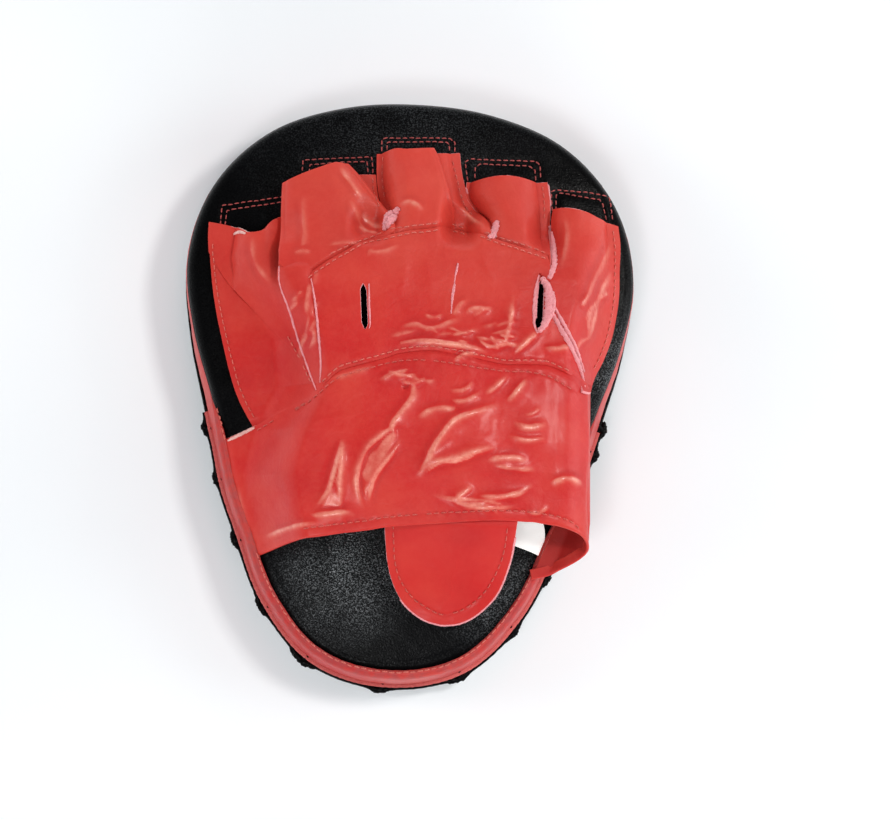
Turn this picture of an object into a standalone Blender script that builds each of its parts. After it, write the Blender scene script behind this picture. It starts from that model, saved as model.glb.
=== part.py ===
"""Focus mitt (boxing pad), right hand, lying on its strike face.

Frame: metres, +Z up out of the hand side, +Y towards the fingertips, +X towards the
little finger; "left" is -X, the thumb side.  Z = 0 is the outside of the target patch and
X = Y = 0 is the middle of the mitt's bounding box.  Lengths below are in millimetres and
are turned into metres by point().  Angles round the outline run from +Y towards +X.
"""

import math

import bmesh
import bpy
from mathutils import Vector

for old_object in list(bpy.data.objects):
    bpy.data.objects.remove(old_object, do_unlink=True)


# ---------------------------------------------------------------- driving dimensions, mm
# Radius of the back panel's outline at every PATTERN_STEP degrees, from the fingertip
# end (+Y) round the little-finger side to the wrist end (-Y).  The thumb side mirrors it.
PATTERN_STEP = 15.0
BACK_PATTERN = (
    130.0, 131.0, 131.5, 126.0, 114.0, 98.0, 86.5, 82.5, 85.5, 92.0, 106.0, 119.5, 123.0,
)
ORIGIN_SHIFT_Y = 0.96    # moves the pattern so that the bounding box is centred
FLARE_TOP = 2.0          # strike face stands outside the back outline by this at the fingertips
FLARE_WRIST = 6.0        # and by this round the wrist half
TANGENT_STEP = 0.01      # radians either side, for the direction of the outline

GAP = 0.3                # air left between touching pieces
SKIN = 1.6               # leather thickness, strike face
PANEL_SKIN = 1.4         # leather thickness, back panel and side wall
GLOVE_SKIN = 2.0         # vertical thickness of the glove leather

PATCH_THICK = 1.2
PATCH_RADIUS = 52.0
FACE_Z = PATCH_THICK + GAP   # outside of the strike face leather
RIM_Z = 12.5             # top of the strike face's turned-up rim
EVA_TOP = 15.0           # firm front foam ends here
MID_TOP = 27.0           # middle foam ends here
WALL_TOP_Z = 34.7        # side wall ends here
BACK_Z = 46.0            # crown of the padded back panel
BACK_DOME = 7.0          # how much lower the back panel is at its edge


# ---------------------------------------------------------------- small helpers
def point(x, y, z):
    return Vector((x * 0.001, (y + ORIGIN_SHIFT_Y) * 0.001, z * 0.001))


def smooth(t):
    t = min(1.0, max(0.0, t))
    return t * t * (3.0 - 2.0 * t)


def mix(a, b, t):
    return a + (b - a) * t


def along(line, share):
    """Point at a share of the length of a polyline given as (x, y) pairs."""
    lengths = [math.dist(a, b) for a, b in zip(line, line[1:])]
    left = share * sum(lengths)
    for a, b, length in zip(line, line[1:], lengths):
        if left <= length:
            return mix(a[0], b[0], left / length), mix(a[1], b[1], left / length)
        left -= length
    return line[-1]


def table(rows, x):
    """Piecewise linear value of a table of (x, value) rows in rising x."""
    if x <= rows[0][0]:
        return rows[0][1]
    for (x0, v0), (x1, v1) in zip(rows, rows[1:]):
        if x <= x1:
            return mix(v0, v1, (x - x0) / (x1 - x0))
    return rows[-1][1]


# ---------------------------------------------------------------- outline of the mitt
def back_radius(angle):
    """Catmull-Rom curve through the pattern; either way round."""
    last = len(BACK_PATTERN) - 1
    station = abs((math.degrees(angle) + 180.0) % 360.0 - 180.0) / PATTERN_STEP
    i = min(last - 1, int(station))
    k = station - i

    def radius(j):
        j = abs(j)
        return BACK_PATTERN[min(j, 2 * last - j)]

    p0, p1, p2, p3 = (radius(i + step) for step in (-1, 0, 1, 2))
    linear = p2 - p0
    square = 2 * p0 - 5 * p1 + 4 * p2 - p3
    cube = 3 * p1 - p0 - 3 * p2 + p3
    return 0.5 * (2 * p1 + linear * k + square * k * k + cube * k ** 3)


def back_point(angle):
    radius = back_radius(angle)
    return radius * math.sin(angle), radius * math.cos(angle)


def back_half_width(y):
    """Half width of the back outline at this y, wrist half, by bisection."""
    low, high = math.radians(60.0), math.radians(175.0)
    for _ in range(40):
        middle = (low + high) / 2
        if back_point(middle)[1] > y:
            low = middle
        else:
            high = middle
    return back_point(low)[0]


def flare(angle):
    """How far the strike face stands outside the back outline."""
    return mix(FLARE_TOP, FLARE_WRIST, smooth((0.55 - math.cos(angle)) / 0.8))


def ring_point(angle, out):
    """Point outside the back outline by out, measured square to it."""
    x0, y0 = back_point(angle - TANGENT_STEP)
    x1, y1 = back_point(angle + TANGENT_STEP)
    along_x, along_y = x1 - x0, y1 - y0
    length = math.hypot(along_x, along_y)
    x, y = back_point(angle)
    return x - along_y / length * out, y + along_x / length * out


def back_z(x, y):
    """Height of the back panel's outside."""
    share = math.hypot(x, y) / back_radius(math.atan2(x, y))
    return BACK_Z - BACK_DOME * min(1.05, share) ** 2.2


# ---------------------------------------------------------------- materials
def make_material(name, colour, roughness):
    material = bpy.data.materials.new(name)
    material.use_nodes = True
    shader = material.node_tree.nodes["Principled BSDF"]
    shader.inputs["Base Color"].default_value = (*colour, 1.0)
    shader.inputs["Roughness"].default_value = roughness
    material.diffuse_color = (*colour, 1.0)
    return material


RED = make_material("red_leather", colour=(0.60, 0.035, 0.032), roughness=0.38)
BLACK = make_material("black_leather", colour=(0.012, 0.012, 0.013), roughness=0.55)
LACE = make_material("black_lace", colour=(0.008, 0.008, 0.009), roughness=0.45)
EVA = make_material("eva_foam", colour=(0.05, 0.05, 0.055), roughness=0.9)
FOAM = make_material("pu_foam", colour=(0.75, 0.70, 0.55), roughness=0.95)
LABEL_WHITE = make_material("label_fabric", colour=(0.90, 0.90, 0.88), roughness=0.7)


# ---------------------------------------------------------------- object and mesh makers
POLE = "pole"            # stands for out in a section corner that lies on the middle axis


def finish(mesh, material):
    mesh.materials.append(material)
    mesh.shade_smooth()
    mesh.set_sharp_from_angle(angle=math.radians(40))


def add_object(name, verts, faces, material, pivot=Vector((0.0, 0.0, 0.0)), parent=None):
    """Mesh object with its origin at pivot, in world metres.  A parent must have its own
    origin at that pivot."""
    bm = bmesh.new()
    made = [bm.verts.new(vert - pivot) for vert in verts]
    for face in faces:
        bm.faces.new([made[i] for i in face])
    bmesh.ops.recalc_face_normals(bm, faces=bm.faces)
    mesh = bpy.data.meshes.new(name)
    bm.to_mesh(mesh)
    bm.free()
    finish(mesh, material)
    obj = bpy.data.objects.new(name, mesh)
    bpy.context.scene.collection.objects.link(obj)
    if parent:
        obj.parent = parent
    else:
        obj.location = pivot


def lathe(name, section, count, material, start=0.0, end=360.0):
    """Solid swept round the outline between two angles in degrees.  section(angle) gives
    the (out, z) corners of its cross-section, which is closed unless it ends in poles."""
    full = end - start == 360.0
    steps = count if full else count + 1
    verts, rows, poles = [], [], {}
    for i in range(steps):
        angle = math.radians(start + (end - start) * i / count)
        row = []
        for corner, (out, z) in enumerate(section(angle)):
            if out != POLE:
                row.append(len(verts))
                verts.append(point(*ring_point(angle, out), z))
                continue
            if corner not in poles:
                poles[corner] = len(verts)
                verts.append(point(0.0, 0.0, z))
            row.append(poles[corner])
        rows.append(row)

    faces = []
    corners = len(rows[0])
    sides = corners - 1 if poles else corners
    for i in range(count):
        a, b = rows[i], rows[(i + 1) % steps]
        for j in range(sides):
            k = (j + 1) % corners
            # Two corners of the quad are the same vertex next to a pole.
            faces.append(list(dict.fromkeys([a[j], a[k], b[k], b[j]])))
    if not full:
        faces += [rows[0], rows[-1][::-1]]
    add_object(name, verts, faces, material)


def shell(name, outside, inside, material, holes=(), **placing):
    """Solid between two grids [row][column] of points.  holes lists the (row, column)
    cells left open."""
    row_count, column_count = len(outside), len(outside[0])
    verts = [point(*place) for grid in (outside, inside) for row in grid for place in row]
    inner = row_count * column_count
    cells = {(r, c) for r in range(row_count - 1) for c in range(column_count - 1)}
    cells -= set(holes)
    faces = []
    for r, c in sorted(cells):
        first = r * column_count + c
        below = first + column_count
        quad = [first, first + 1, below + 1, below]
        faces += [quad, [v + inner for v in quad[::-1]]]
        for k, (dr, dc) in enumerate(((-1, 0), (0, 1), (1, 0), (0, -1))):
            if (r + dr, c + dc) not in cells:
                a, b = quad[k], quad[(k + 1) % 4]
                faces.append([b, a, a + inner, b + inner])
    add_object(name, verts, faces, material, **placing)


def sheet(name, grid, thick, material, **options):
    """Sheet whose outside is grid[row][column]; it is thick downwards."""
    inside = [[(x, y, z - thick) for x, y, z in row] for row in grid]
    shell(name, grid, inside, material, **options)


# ---------------------------------------------------------------- the pad
FOAM_CLEARANCE = 0.8         # extra air between the back foam and the back panel
WALL_FOOT_INSET = 2.0        # side wall's foot, inside the strike face's rim
WALL_UPPER_END = 95.0        # degrees either side of +Y covered by the fingertip strip
WALL_LOWER_START = 95.4      # the wrist strip starts here, in degrees
BINDING_START = 96.0


def build_target_patch():
    """Disc on the middle of the strike face."""
    bpy.ops.mesh.primitive_cylinder_add(
        vertices=48,
        radius=PATCH_RADIUS * 0.001,
        depth=PATCH_THICK * 0.001,
        location=point(0.0, 0.0, PATCH_THICK / 2),
    )
    patch = bpy.context.object
    patch.name = patch.data.name = "target_patch"
    finish(patch.data, RED)


def build_strike_face():
    """Shallow leather tray with a rounded, turned-up rim."""
    def section(angle):
        rim = flare(angle)
        outer = (
            (POLE, FACE_Z), (rim - 8.0, FACE_Z), (rim - 3.5, FACE_Z + 1.1),
            (rim - 1.0, FACE_Z + 4.0), (rim, FACE_Z + 7.5), (rim, RIM_Z),
        )
        inner = (
            (rim - SKIN, RIM_Z), (rim - SKIN, FACE_Z + 7.7), (rim - 2.5, FACE_Z + 4.9),
            (rim - 4.7, FACE_Z + 2.6), (rim - 8.5, FACE_Z + SKIN), (POLE, FACE_Z + SKIN),
        )
        return outer + inner

    lathe("strike_face", section, 56, BLACK)


def build_foam_slab(name, bottom, top, material):
    """Flat foam; bottom and top are (z, share of the flare followed, inset)."""
    def section(angle):
        edges = [(flare(angle) * share - inset, z) for z, share, inset in (bottom, top)]
        return [(POLE, bottom[0]), *edges, (POLE, top[0])]

    lathe(name, section, 40, material)


def inset_corner(angle, inset, drop):
    """Section corner inside the outline, below the back panel's outside by drop."""
    return -inset, back_z(*ring_point(angle, -inset)) - drop


def build_back_foam():
    bottom = MID_TOP + GAP
    drop = PANEL_SKIN + GAP + FOAM_CLEARANCE

    def section(angle):
        edge = [(POLE, bottom), (flare(angle) * 0.4 - 3.2, bottom), (-3.2, 34.0), (-6.0, 36.4)]
        dome = [inset_corner(angle, inset, drop) for inset in (16.0, 34.0, 56.0)]
        return edge + dome + [(POLE, BACK_Z - drop)]

    lathe("back_foam", section, 40, FOAM)


def build_back_panel():
    """Domed leather with a rolled-down edge."""
    edge_z = WALL_TOP_Z + GAP

    def section(angle):
        outer = [inset_corner(angle, inset, 0.0) for inset in (56.0, 34.0, 18.0, 8.0)]
        edge = [
            (-4.0, 39.2), (-1.6, 38.2), (-0.4, 36.9), (0.0, edge_z),
            (-PANEL_SKIN, edge_z), (-1.8, 36.2), (-2.7, 37.1), (-4.6, 37.9),
        ]
        inner = [inset_corner(angle, inset, PANEL_SKIN) for inset in (8.4, 18.0, 34.0, 56.0)]
        return [(POLE, BACK_Z), *outer, *edge, *inner, (POLE, BACK_Z - PANEL_SKIN)]

    lathe("back_panel", section, 56, BLACK)


def build_side_wall():
    """Two strips of leather that meet at each flank."""
    foot_z = RIM_Z + GAP

    def section(angle):
        foot = flare(angle) - WALL_FOOT_INSET
        return (
            (foot, foot_z), (0.0, WALL_TOP_Z), (-PANEL_SKIN, WALL_TOP_Z),
            (foot - PANEL_SKIN, foot_z),
        )

    lathe("side_wall_upper", section, 32, RED, start=-WALL_UPPER_END, end=WALL_UPPER_END)
    lathe(
        "side_wall_lower", section, 30, RED,
        start=WALL_LOWER_START, end=360.0 - WALL_LOWER_START,
    )


def build_edge_binding():
    """Strip over the wrist half of the back panel's edge."""
    def section(_angle):
        return (
            (2.6, 36.1), (0.4, 36.5), (0.3, 38.0), (-1.0, 39.4), (-3.4, 40.2),
            (-3.4, 41.7), (-0.8, 41.0), (0.8, 39.6), (2.6, 37.6),
        )

    lathe("edge_binding", section, 36, RED, start=BINDING_START, end=360.0 - BINDING_START)


def build_pad():
    build_target_patch()
    build_strike_face()
    build_foam_slab("front_foam", (FACE_Z + SKIN + GAP, 1.0, 9.2), (EVA_TOP, 1.0, 4.4), EVA)
    build_foam_slab("middle_foam", (EVA_TOP + GAP, 1.0, 4.6), (MID_TOP, 0.45, 3.2), FOAM)
    build_back_foam()
    build_back_panel()
    build_side_wall()
    build_edge_binding()


# ---------------------------------------------------------------- edge lace
LACE_RADIUS = 1.1
LACE_OUT = 1.7               # centre line outside the strike face between bumps
LACE_Z = 11.6
LACE_SWAY = 0.6              # how far the centre line rises and falls
LACE_BUMP = 2.2              # how far each whip stitch stands out
LACE_BUMPS = 13
LACE_STEPS = LACE_BUMPS * 10
LACE_SIDES = 6
LACE_START = 99.0            # degrees


def lace_centre(share):
    angle = math.radians(mix(LACE_START, 360.0 - LACE_START, share))
    phase = 2 * math.pi * LACE_BUMPS * share
    wave = 0.5 - 0.5 * math.cos(phase)
    x, y = ring_point(angle, flare(angle) + LACE_OUT + LACE_BUMP * wave ** 2)
    return x, y, LACE_Z + LACE_SWAY * math.sin(phase)


def build_lace():
    """Round cord along the rim of the wrist half, standing out in a bump at each stitch."""
    centres = [lace_centre(i / LACE_STEPS) for i in range(LACE_STEPS + 1)]
    verts, rings = [], []
    for i, (x, y, z) in enumerate(centres):
        before, after = centres[max(0, i - 1)], centres[min(LACE_STEPS, i + 1)]
        along_x, along_y = after[0] - before[0], after[1] - before[1]
        length = math.hypot(along_x, along_y)
        rings.append(range(i * LACE_SIDES, (i + 1) * LACE_SIDES))
        for side in range(LACE_SIDES):
            turn = 2 * math.pi * side / LACE_SIDES
            inward = LACE_RADIUS * math.cos(turn) / length
            up = LACE_RADIUS * math.sin(turn)
            verts.append(point(x + along_y * inward, y - along_x * inward, z + up))
    faces = []
    for a, b in zip(rings, rings[1:]):
        for j in range(LACE_SIDES):
            k = (j + 1) % LACE_SIDES
            faces.append([a[j], a[k], b[k], b[j]])
    faces += [rings[0], rings[-1][::-1]]
    add_object("edge_lace", verts, faces, LACE)


# ---------------------------------------------------------------- palm grip pad
PAD_CENTRE = (2.0, -18.0)
PAD_HALF_SIZES = (34.0, 25.0)
PAD_HEIGHT = 4.2
PAD_CROWNING = 0.3           # height of the middle over the rings, above and below
PAD_COUNT = 24
# Share of the half sizes, share of the height; from the top ring to the bottom one.
PAD_RINGS = ((0.72, 1.0), (0.94, 0.62), (1.0, 0.0))


def build_palm_pad():
    """Low oval grip cushion that the palm closes on, under the cuff."""
    centre_x, centre_y = PAD_CENTRE
    half_x, half_y = PAD_HALF_SIZES
    bottom = back_z(*PAD_CENTRE) + GAP
    verts = [point(*PAD_CENTRE, bottom + PAD_HEIGHT), point(*PAD_CENTRE, bottom)]
    rings = []
    for scale, lift in PAD_RINGS:
        rings.append(range(len(verts), len(verts) + PAD_COUNT))
        height = PAD_CROWNING + (PAD_HEIGHT - 2 * PAD_CROWNING) * lift
        for i in range(PAD_COUNT):
            turn = 2 * math.pi * i / PAD_COUNT
            x = centre_x + half_x * scale * math.cos(turn)
            y = centre_y + half_y * scale * math.sin(turn)
            verts.append(point(x, y, back_z(x, y) + GAP + height))
    faces = []
    for i in range(PAD_COUNT):
        k = (i + 1) % PAD_COUNT
        faces.append([0, rings[0][i], rings[0][k]])
        for a, b in zip(rings, rings[1:]):
            faces.append([a[i], b[i], b[k], a[k]])
        faces.append([1, rings[-1][k], rings[-1][i]])
    add_object("palm_grip_pad", verts, faces, BLACK)


# ---------------------------------------------------------------- shape of the glove
SLEEVE_RISE = 18.0           # finger sleeves above the back panel
CROWN_RISE = 29.0            # cuff above the back panel
FLANGE_LIFT = 2.4            # outside of a stitched-down flange above the back panel

# Left x and right x of each finger's tunnel, thumb first.
SLEEVES = ((-90.0, -57.4), (-57.0, -19.8), (-19.2, 20.0), (20.6, 57.6), (58.2, 91.0))
# (y, x) of the lines where the arch of cuff and knuckles comes down.
LEFT_FOOT = (
    (-75.0, -60.0), (-60.0, -64.0), (-40.0, -70.0), (-20.0, -66.0),
    (0.0, -56.0), (20.0, -60.0), (42.0, -76.0), (64.0, -90.0),
)
RIGHT_FOOT = (
    (-80.0, 110.0), (-10.0, 110.0), (7.0, 84.0), (16.0, 88.0), (47.0, 93.0), (80.0, 92.0),
)
# (y, rise) of the top of the arch.
RISE = (
    (-100.0, CROWN_RISE), (-20.0, CROWN_RISE), (15.0, 25.0), (60.0, 19.0),
    (110.0, SLEEVE_RISE),
)
# (x, y) of the seam between knuckles and cuff, and of the cuff's free hem.
SEAM_LINE = (
    (-38.5, -3.6), (-20.0, 6.0), (-3.0, 13.0), (10.0, 15.0), (31.0, 13.6),
    (49.0, 12.4), (60.0, 12.0), (66.0, 11.4), (77.0, 7.0),
)
HEM_LINE = (
    (-58.8, -72.5), (-42.0, -66.0), (-25.0, -62.0), (-6.0, -58.0), (18.0, -56.0),
    (44.0, -53.0), (52.0, -53.0), (60.0, -54.4), (69.0, -56.0), (82.0, -60.0),
)


def palm_rise(x, y):
    """Hand space of cuff and knuckles: one arch from foot to foot."""
    left = smooth((x - table(LEFT_FOOT, y)) / 26.0)
    right = smooth((table(RIGHT_FOOT, y) - x) / 22.0)
    return table(RISE, y) * left * right


def finger_rise(x):
    """Tunnels: flat flanges 3 wide, then flanks 7 wide up to the full rise."""
    for left, right in SLEEVES:
        if x <= right + 0.3:
            flanks = smooth((x - left - 3.0) / 7.0) * smooth((right - 3.0 - x) / 7.0)
            return SLEEVE_RISE * flanks
    return 0.0


def glove_z(x, y):
    """Height of the glove leather's outside; arch blends into tunnels past y = 56."""
    share = smooth((y - 56.0) / 16.0)
    return back_z(x, y) + FLANGE_LIFT + mix(palm_rise(x, y), finger_rise(x), share)


def draped(left, right, rows, columns):
    """Grid between two edge polylines, both from the fingertips to the wrist."""
    grid = []
    for r in range(rows + 1):
        (x0, y0), (x1, y1) = along(left, r / rows), along(right, r / rows)
        places = [(mix(x0, x1, c / columns), mix(y0, y1, c / columns)) for c in range(columns + 1)]
        grid.append([(x, y, glove_z(x, y)) for x, y in places])
    return grid


# ---------------------------------------------------------------- sleeves and thumb panels
# Name, left edge, right edge, rows, columns.  The sleeves are tunnels open at the
# fingertips; the side panel and gusset lie between thumb, knuckles and cuff.
GLOVE_PANELS = (
    ("thumb_sleeve",
     ((-90.0, 72.0), (-90.4, 66.0), (-90.0, 61.0)),
     ((-57.6, 75.0), (-57.6, 56.0), (-57.6, 36.6)), 5, 10),
    ("index_sleeve",
     ((-57.0, 90.0), (-57.0, 68.0), (-57.0, 47.6)),
     ((-19.9, 98.0), (-19.9, 82.0), (-19.9, 66.2)), 5, 10),
    ("middle_sleeve",
     ((-19.3, 106.0), (-19.3, 86.0), (-19.3, 66.6)),
     ((20.0, 106.0), (20.0, 86.0), (20.0, 67.3)), 5, 10),
    ("ring_sleeve",
     ((20.6, 97.0), (20.6, 82.0), (20.6, 67.3)),
     ((57.4, 97.0), (57.4, 78.0), (57.4, 60.0)), 5, 10),
    ("little_sleeve",
     ((60.4, 86.0), (58.4, 71.0), (60.6, 50.0), (68.2, 28.0), (77.0, 10.2)),
     ((90.0, 82.0), (92.0, 65.0), (92.0, 47.0), (89.5, 29.0), (82.5, 11.6)), 9, 8),
    ("thumb_side_panel",
     ((-89.9, 60.4), (-87.0, 42.0), (-82.0, 24.0), (-74.0, -2.0), (-66.0, -16.6)),
     ((-57.6, 36.1), (-53.0, 28.4), (-47.6, 14.0), (-41.0, -2.0)), 7, 6),
    ("thumb_gusset",
     ((-56.9, 46.6), (-56.6, 37.0), (-52.4, 28.0), (-47.0, 14.0), (-40.2, -1.6)),
     ((-47.2, 50.6), (-44.8, 46.0), (-42.6, 30.0), (-40.5, 14.0), (-39.1, -1.6)), 6, 2),
)


def build_glove_panels():
    for name, left, right, rows, columns in GLOVE_PANELS:
        sheet(name, draped(left, right, rows, columns), GLOVE_SKIN, RED)


# ---------------------------------------------------------------- knuckle panel
# (x, y) of the fingertip-side edge, then (y, x) of the side edges.
KNUCKLE_TOP = ((-47.0, 51.6), (-31.0, 58.8), (-19.5, 65.6), (20.2, 66.8), (58.0, 59.2))
KNUCKLE_LEFT = ((-1.0, -38.5), (14.0, -40.0), (30.0, -42.1), (46.0, -44.2), (52.0, -46.6))
KNUCKLE_RIGHT = ((9.0, 76.2), (28.0, 67.6), (50.0, 60.0), (60.0, 57.8))
KNUCKLE_LEVELS = (50.0, 46.0, 34.0, 30.0, 25.0)   # y of the straight grid rows
# Vent slots: grid column, left x, right x, low y, high y.
SLOTS = (
    (3, -21.5, -17.5, 25.0, 46.0),
    (8, 17.0, 21.0, 34.0, 50.0),
    (12, 54.0, 57.6, 30.0, 50.0),
)


def knuckle_inner_columns(y):
    """x of the grid columns between the two side edges."""
    edge = table(KNUCKLE_LEFT, y)
    (left0, right0), (left1, right1), (left2, right2) = (slot[1:3] for slot in SLOTS)
    return [
        mix(edge, left0, 0.33), mix(edge, left0, 0.66), left0,
        right0, *(mix(right0, left1, share) for share in (0.25, 0.5, 0.75)), left1,
        right1, mix(right1, left2, 0.33), mix(right1, left2, 0.66), left2,
        right2,
    ]


def build_knuckle_panel():
    top = [(x, table(KNUCKLE_TOP, x)) for x in (-46.4, *knuckle_inner_columns(58.0), 57.9)]
    rows = [top]
    for y in KNUCKLE_LEVELS:
        edges = table(KNUCKLE_LEFT, y), table(KNUCKLE_RIGHT, y)
        rows.append([(x, y) for x in (edges[0], *knuckle_inner_columns(y), edges[1])])
    seam_columns = (-38.3, *knuckle_inner_columns(4.0), 76.0)
    rows.append([(x, min(table(SEAM_LINE, x) + 0.5, 14.6)) for x in seam_columns])

    holes = [
        (row, column)
        for column, _, _, low, high in SLOTS
        for row, (upper, lower) in enumerate(zip(KNUCKLE_LEVELS, KNUCKLE_LEVELS[1:]), start=1)
        if upper <= high and lower >= low
    ]
    grid = [[(x, y, glove_z(x, y)) for x, y in row] for row in rows]
    sheet("knuckle_panel", grid, GLOVE_SKIN, RED, holes=holes)


# ---------------------------------------------------------------- cuff
LIFT_SEAM = (13.0, 13.0)     # x and y where the lift axis takes its height
LIFT_AXIS_SHIFT = 1.5        # lift axis, on the fingertip side of that place

WING_EDGE_Y = (-23.5, -30.0, -41.0, -58.0, -71.0)
WING_SEAM = ((-38.6, -4.4), (-38.6, -20.0), (-38.6, -35.0), (-38.6, -50.0), (-38.6, -64.4))

CROWN_X = (-38.0, 60.0)
CROWN_COLUMNS = 12
CROWN_ROWS = 7
LINING_THICK = 1.1
LINING_GAP = 0.9

RIGHT_WING_X = 60.4          # edge beside the crown
RIGHT_WING_ROWS = 9
RIGHT_WING_SKIN = 1.6

TAB_HINGE_X = 22.0
TAB_HINGE_Y = -58.2
TAB_HEIGHT_Y = -56.0         # y where the tab axis takes its height from the glove
TAB_DROP = 0.4               # tab axis below the inside of the cuff leather
TAB_REACH = 42.0             # length over which the tab comes down
TAB_END_Z = 48.5
TAB_SKIN = 1.6
TAB_LINING_THICK = 1.0
# (x, y) of the tab's edges after their hinge ends, and x of those ends.
TAB_LEFT_X = -5.0
TAB_LEFT = ((-4.6, -64.0), (-2.0, -77.0), (7.0, -91.0), (21.0, -99.6))
TAB_RIGHT_X = 50.4
TAB_RIGHT = ((49.6, -66.0), (47.5, -80.0), (39.0, -93.0), (23.0, -99.6))


def add_axis(name, place, parent=None):
    """Empty on a hinge line, at a world place."""
    axis = bpy.data.objects.new(name, None)
    axis.parent = parent
    axis.location = place - parent.location if parent else place
    bpy.context.scene.collection.objects.link(axis)
    return axis


def build_left_wing():
    """Band from the thumb-side edge up to the crown."""
    edge = [(5.2 + 0.02 * (y - WING_EDGE_Y[0]) - back_half_width(y), y) for y in WING_EDGE_Y]
    sheet("cuff_left_wing", draped(edge, WING_SEAM, 7, 8), GLOVE_SKIN, RED)


def crown_grid(drop, seam_inset, hem_inset, margin):
    """Grid from seam to hem; margin is the number of crown columns left off each side."""
    grid = []
    for r in range(CROWN_ROWS + 1):
        row = []
        for c in range(margin, CROWN_COLUMNS - margin + 1):
            x = mix(*CROWN_X, c / CROWN_COLUMNS)
            seam, hem = table(SEAM_LINE, x) - seam_inset, table(HEM_LINE, x) + hem_inset
            y = mix(seam, hem, r / CROWN_ROWS)
            row.append((x, y, glove_z(x, y) - drop))
        grid.append(row)
    return grid


def build_crown(pivot, parent):
    """Free middle of the band, and the lining inside it."""
    outer = crown_grid(drop=0.0, seam_inset=0.5, hem_inset=0.0, margin=0)
    sheet("cuff_crown", outer, GLOVE_SKIN, RED, pivot=pivot, parent=parent)
    lining = crown_grid(drop=GLOVE_SKIN + LINING_GAP, seam_inset=3.0, hem_inset=4.0, margin=1)
    sheet("cuff_lining", lining, LINING_THICK, RED, pivot=pivot, parent=parent)


def build_right_wing():
    """Rolls over beside the little finger and turns back under to the edge."""
    outside, inside = [], []
    for r in range(RIGHT_WING_ROWS + 1):
        k = r / RIGHT_WING_ROWS
        crown_y, foot_y = mix(11.2, -54.4, k), mix(4.4, -77.0, k)
        top = glove_z(RIGHT_WING_X, crown_y)
        bulge = mix(81.2, 83.2, k)
        foot = min(80.5, back_half_width(foot_y) - 0.6)
        # (x, z) from the crown over the bulge to the foot.
        section = (
            (RIGHT_WING_X, top), (68.0, top - 0.8), (74.5, top - 3.6), (79.2, top - 9.0),
            (bulge - 0.6, top - 15.0), (bulge, mix(50.0, 52.0, k)),
            (mix(bulge, 80.0, 0.6), 46.6), (foot, 42.2),
        )
        last = len(section) - 1
        outer_row, inner_row = [], []
        for c, (x, z) in enumerate(section):
            y = mix(crown_y, foot_y, smooth(c / last * 1.15))
            before, after = section[max(0, c - 1)], section[min(last, c + 1)]
            dx, dz = after[0] - before[0], after[1] - before[1]
            offset = RIGHT_WING_SKIN / math.hypot(dx, dz)
            inner_z = z - dx * offset if c < last else z + RIGHT_WING_SKIN
            outer_row.append((x, y, z))
            inner_row.append((x + dz * offset, y, inner_z))
        outside.append(outer_row)
        inside.append(inner_row)
    shell("cuff_right_wing", outside, inside, RED)


def tab_grid(hinge_z, drop, shrink, rows, columns):
    hinge_y = TAB_HINGE_Y - shrink * 0.2
    left = ((TAB_LEFT_X, hinge_y), *TAB_LEFT)
    right = ((TAB_RIGHT_X, hinge_y), *TAB_RIGHT)
    grid = []
    for r in range(rows + 1):
        (x0, y0), (x1, y1) = along(left, r / rows), along(right, r / rows)
        half = max(0.8, (x1 - x0) / 2 - shrink)
        row = []
        for c in range(columns + 1):
            x = (x0 + x1) / 2 + half * (2 * c / columns - 1)
            y = mix(y0, y1, c / columns)
            y += shrink * smooth((-80.0 - y) / 20.0)
            k = (TAB_HINGE_Y - y) / TAB_REACH
            fall = smooth(0.5 * k + 0.5) * 2 - 1 if k > 0 else 0.0
            row.append((x, y, mix(hinge_z, TAB_END_Z, fall) - drop))
        grid.append(row)
    return grid


def build_pull_tab(hinge_z, pivot, parent):
    """Outer leather and lining, hanging from the hem."""
    outer = tab_grid(hinge_z, drop=0.0, shrink=0.0, rows=8, columns=6)
    sheet("pull_tab", outer, TAB_SKIN, RED, pivot=pivot, parent=parent)
    lining = tab_grid(hinge_z, drop=TAB_SKIN + GAP, shrink=2.0, rows=7, columns=5)
    sheet("pull_tab_lining", lining, TAB_LINING_THICK, RED, pivot=pivot, parent=parent)


def build_cuff():
    lift_place = point(0.0, LIFT_SEAM[1] + LIFT_AXIS_SHIFT, glove_z(*LIFT_SEAM))
    lift_axis = add_axis("cuff_lift_axis", lift_place)
    tab_z = glove_z(TAB_HINGE_X, TAB_HEIGHT_Y) - GLOVE_SKIN - TAB_DROP
    tab_place = point(TAB_HINGE_X, TAB_HINGE_Y, tab_z)
    tab_axis = add_axis("tab_axis", tab_place, parent=lift_axis)

    build_left_wing()
    build_crown(lift_place, lift_axis)
    build_right_wing()
    build_pull_tab(tab_z, tab_place, tab_axis)


# ---------------------------------------------------------------- care label
LABEL_X = (50.0, 62.6)
LABEL_Y = (-50.5, -66.0)
LABEL_Z = 43.3
LABEL_THICK = 0.5
LABEL_SKEW = 1.5             # the left edge stops short by this
LABEL_CELLS = 3


def build_label():
    grid = []
    for r in range(LABEL_CELLS + 1):
        row = []
        for c in range(LABEL_CELLS + 1):
            end_y = LABEL_Y[1] + (LABEL_SKEW if c == 0 else 0.0)
            x, y = mix(*LABEL_X, c / LABEL_CELLS), mix(LABEL_Y[0], end_y, r / LABEL_CELLS)
            row.append((x, y, LABEL_Z))
        grid.append(row)
    pivot = point(sum(LABEL_X) / 2, LABEL_Y[0], LABEL_Z)
    sheet("care_label", grid, LABEL_THICK, LABEL_WHITE, pivot=pivot)


build_pad()
build_lace()
build_palm_pad()
build_glove_panels()
build_knuckle_panel()
build_cuff()
build_label()
bpy.context.view_layer.update()
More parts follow.
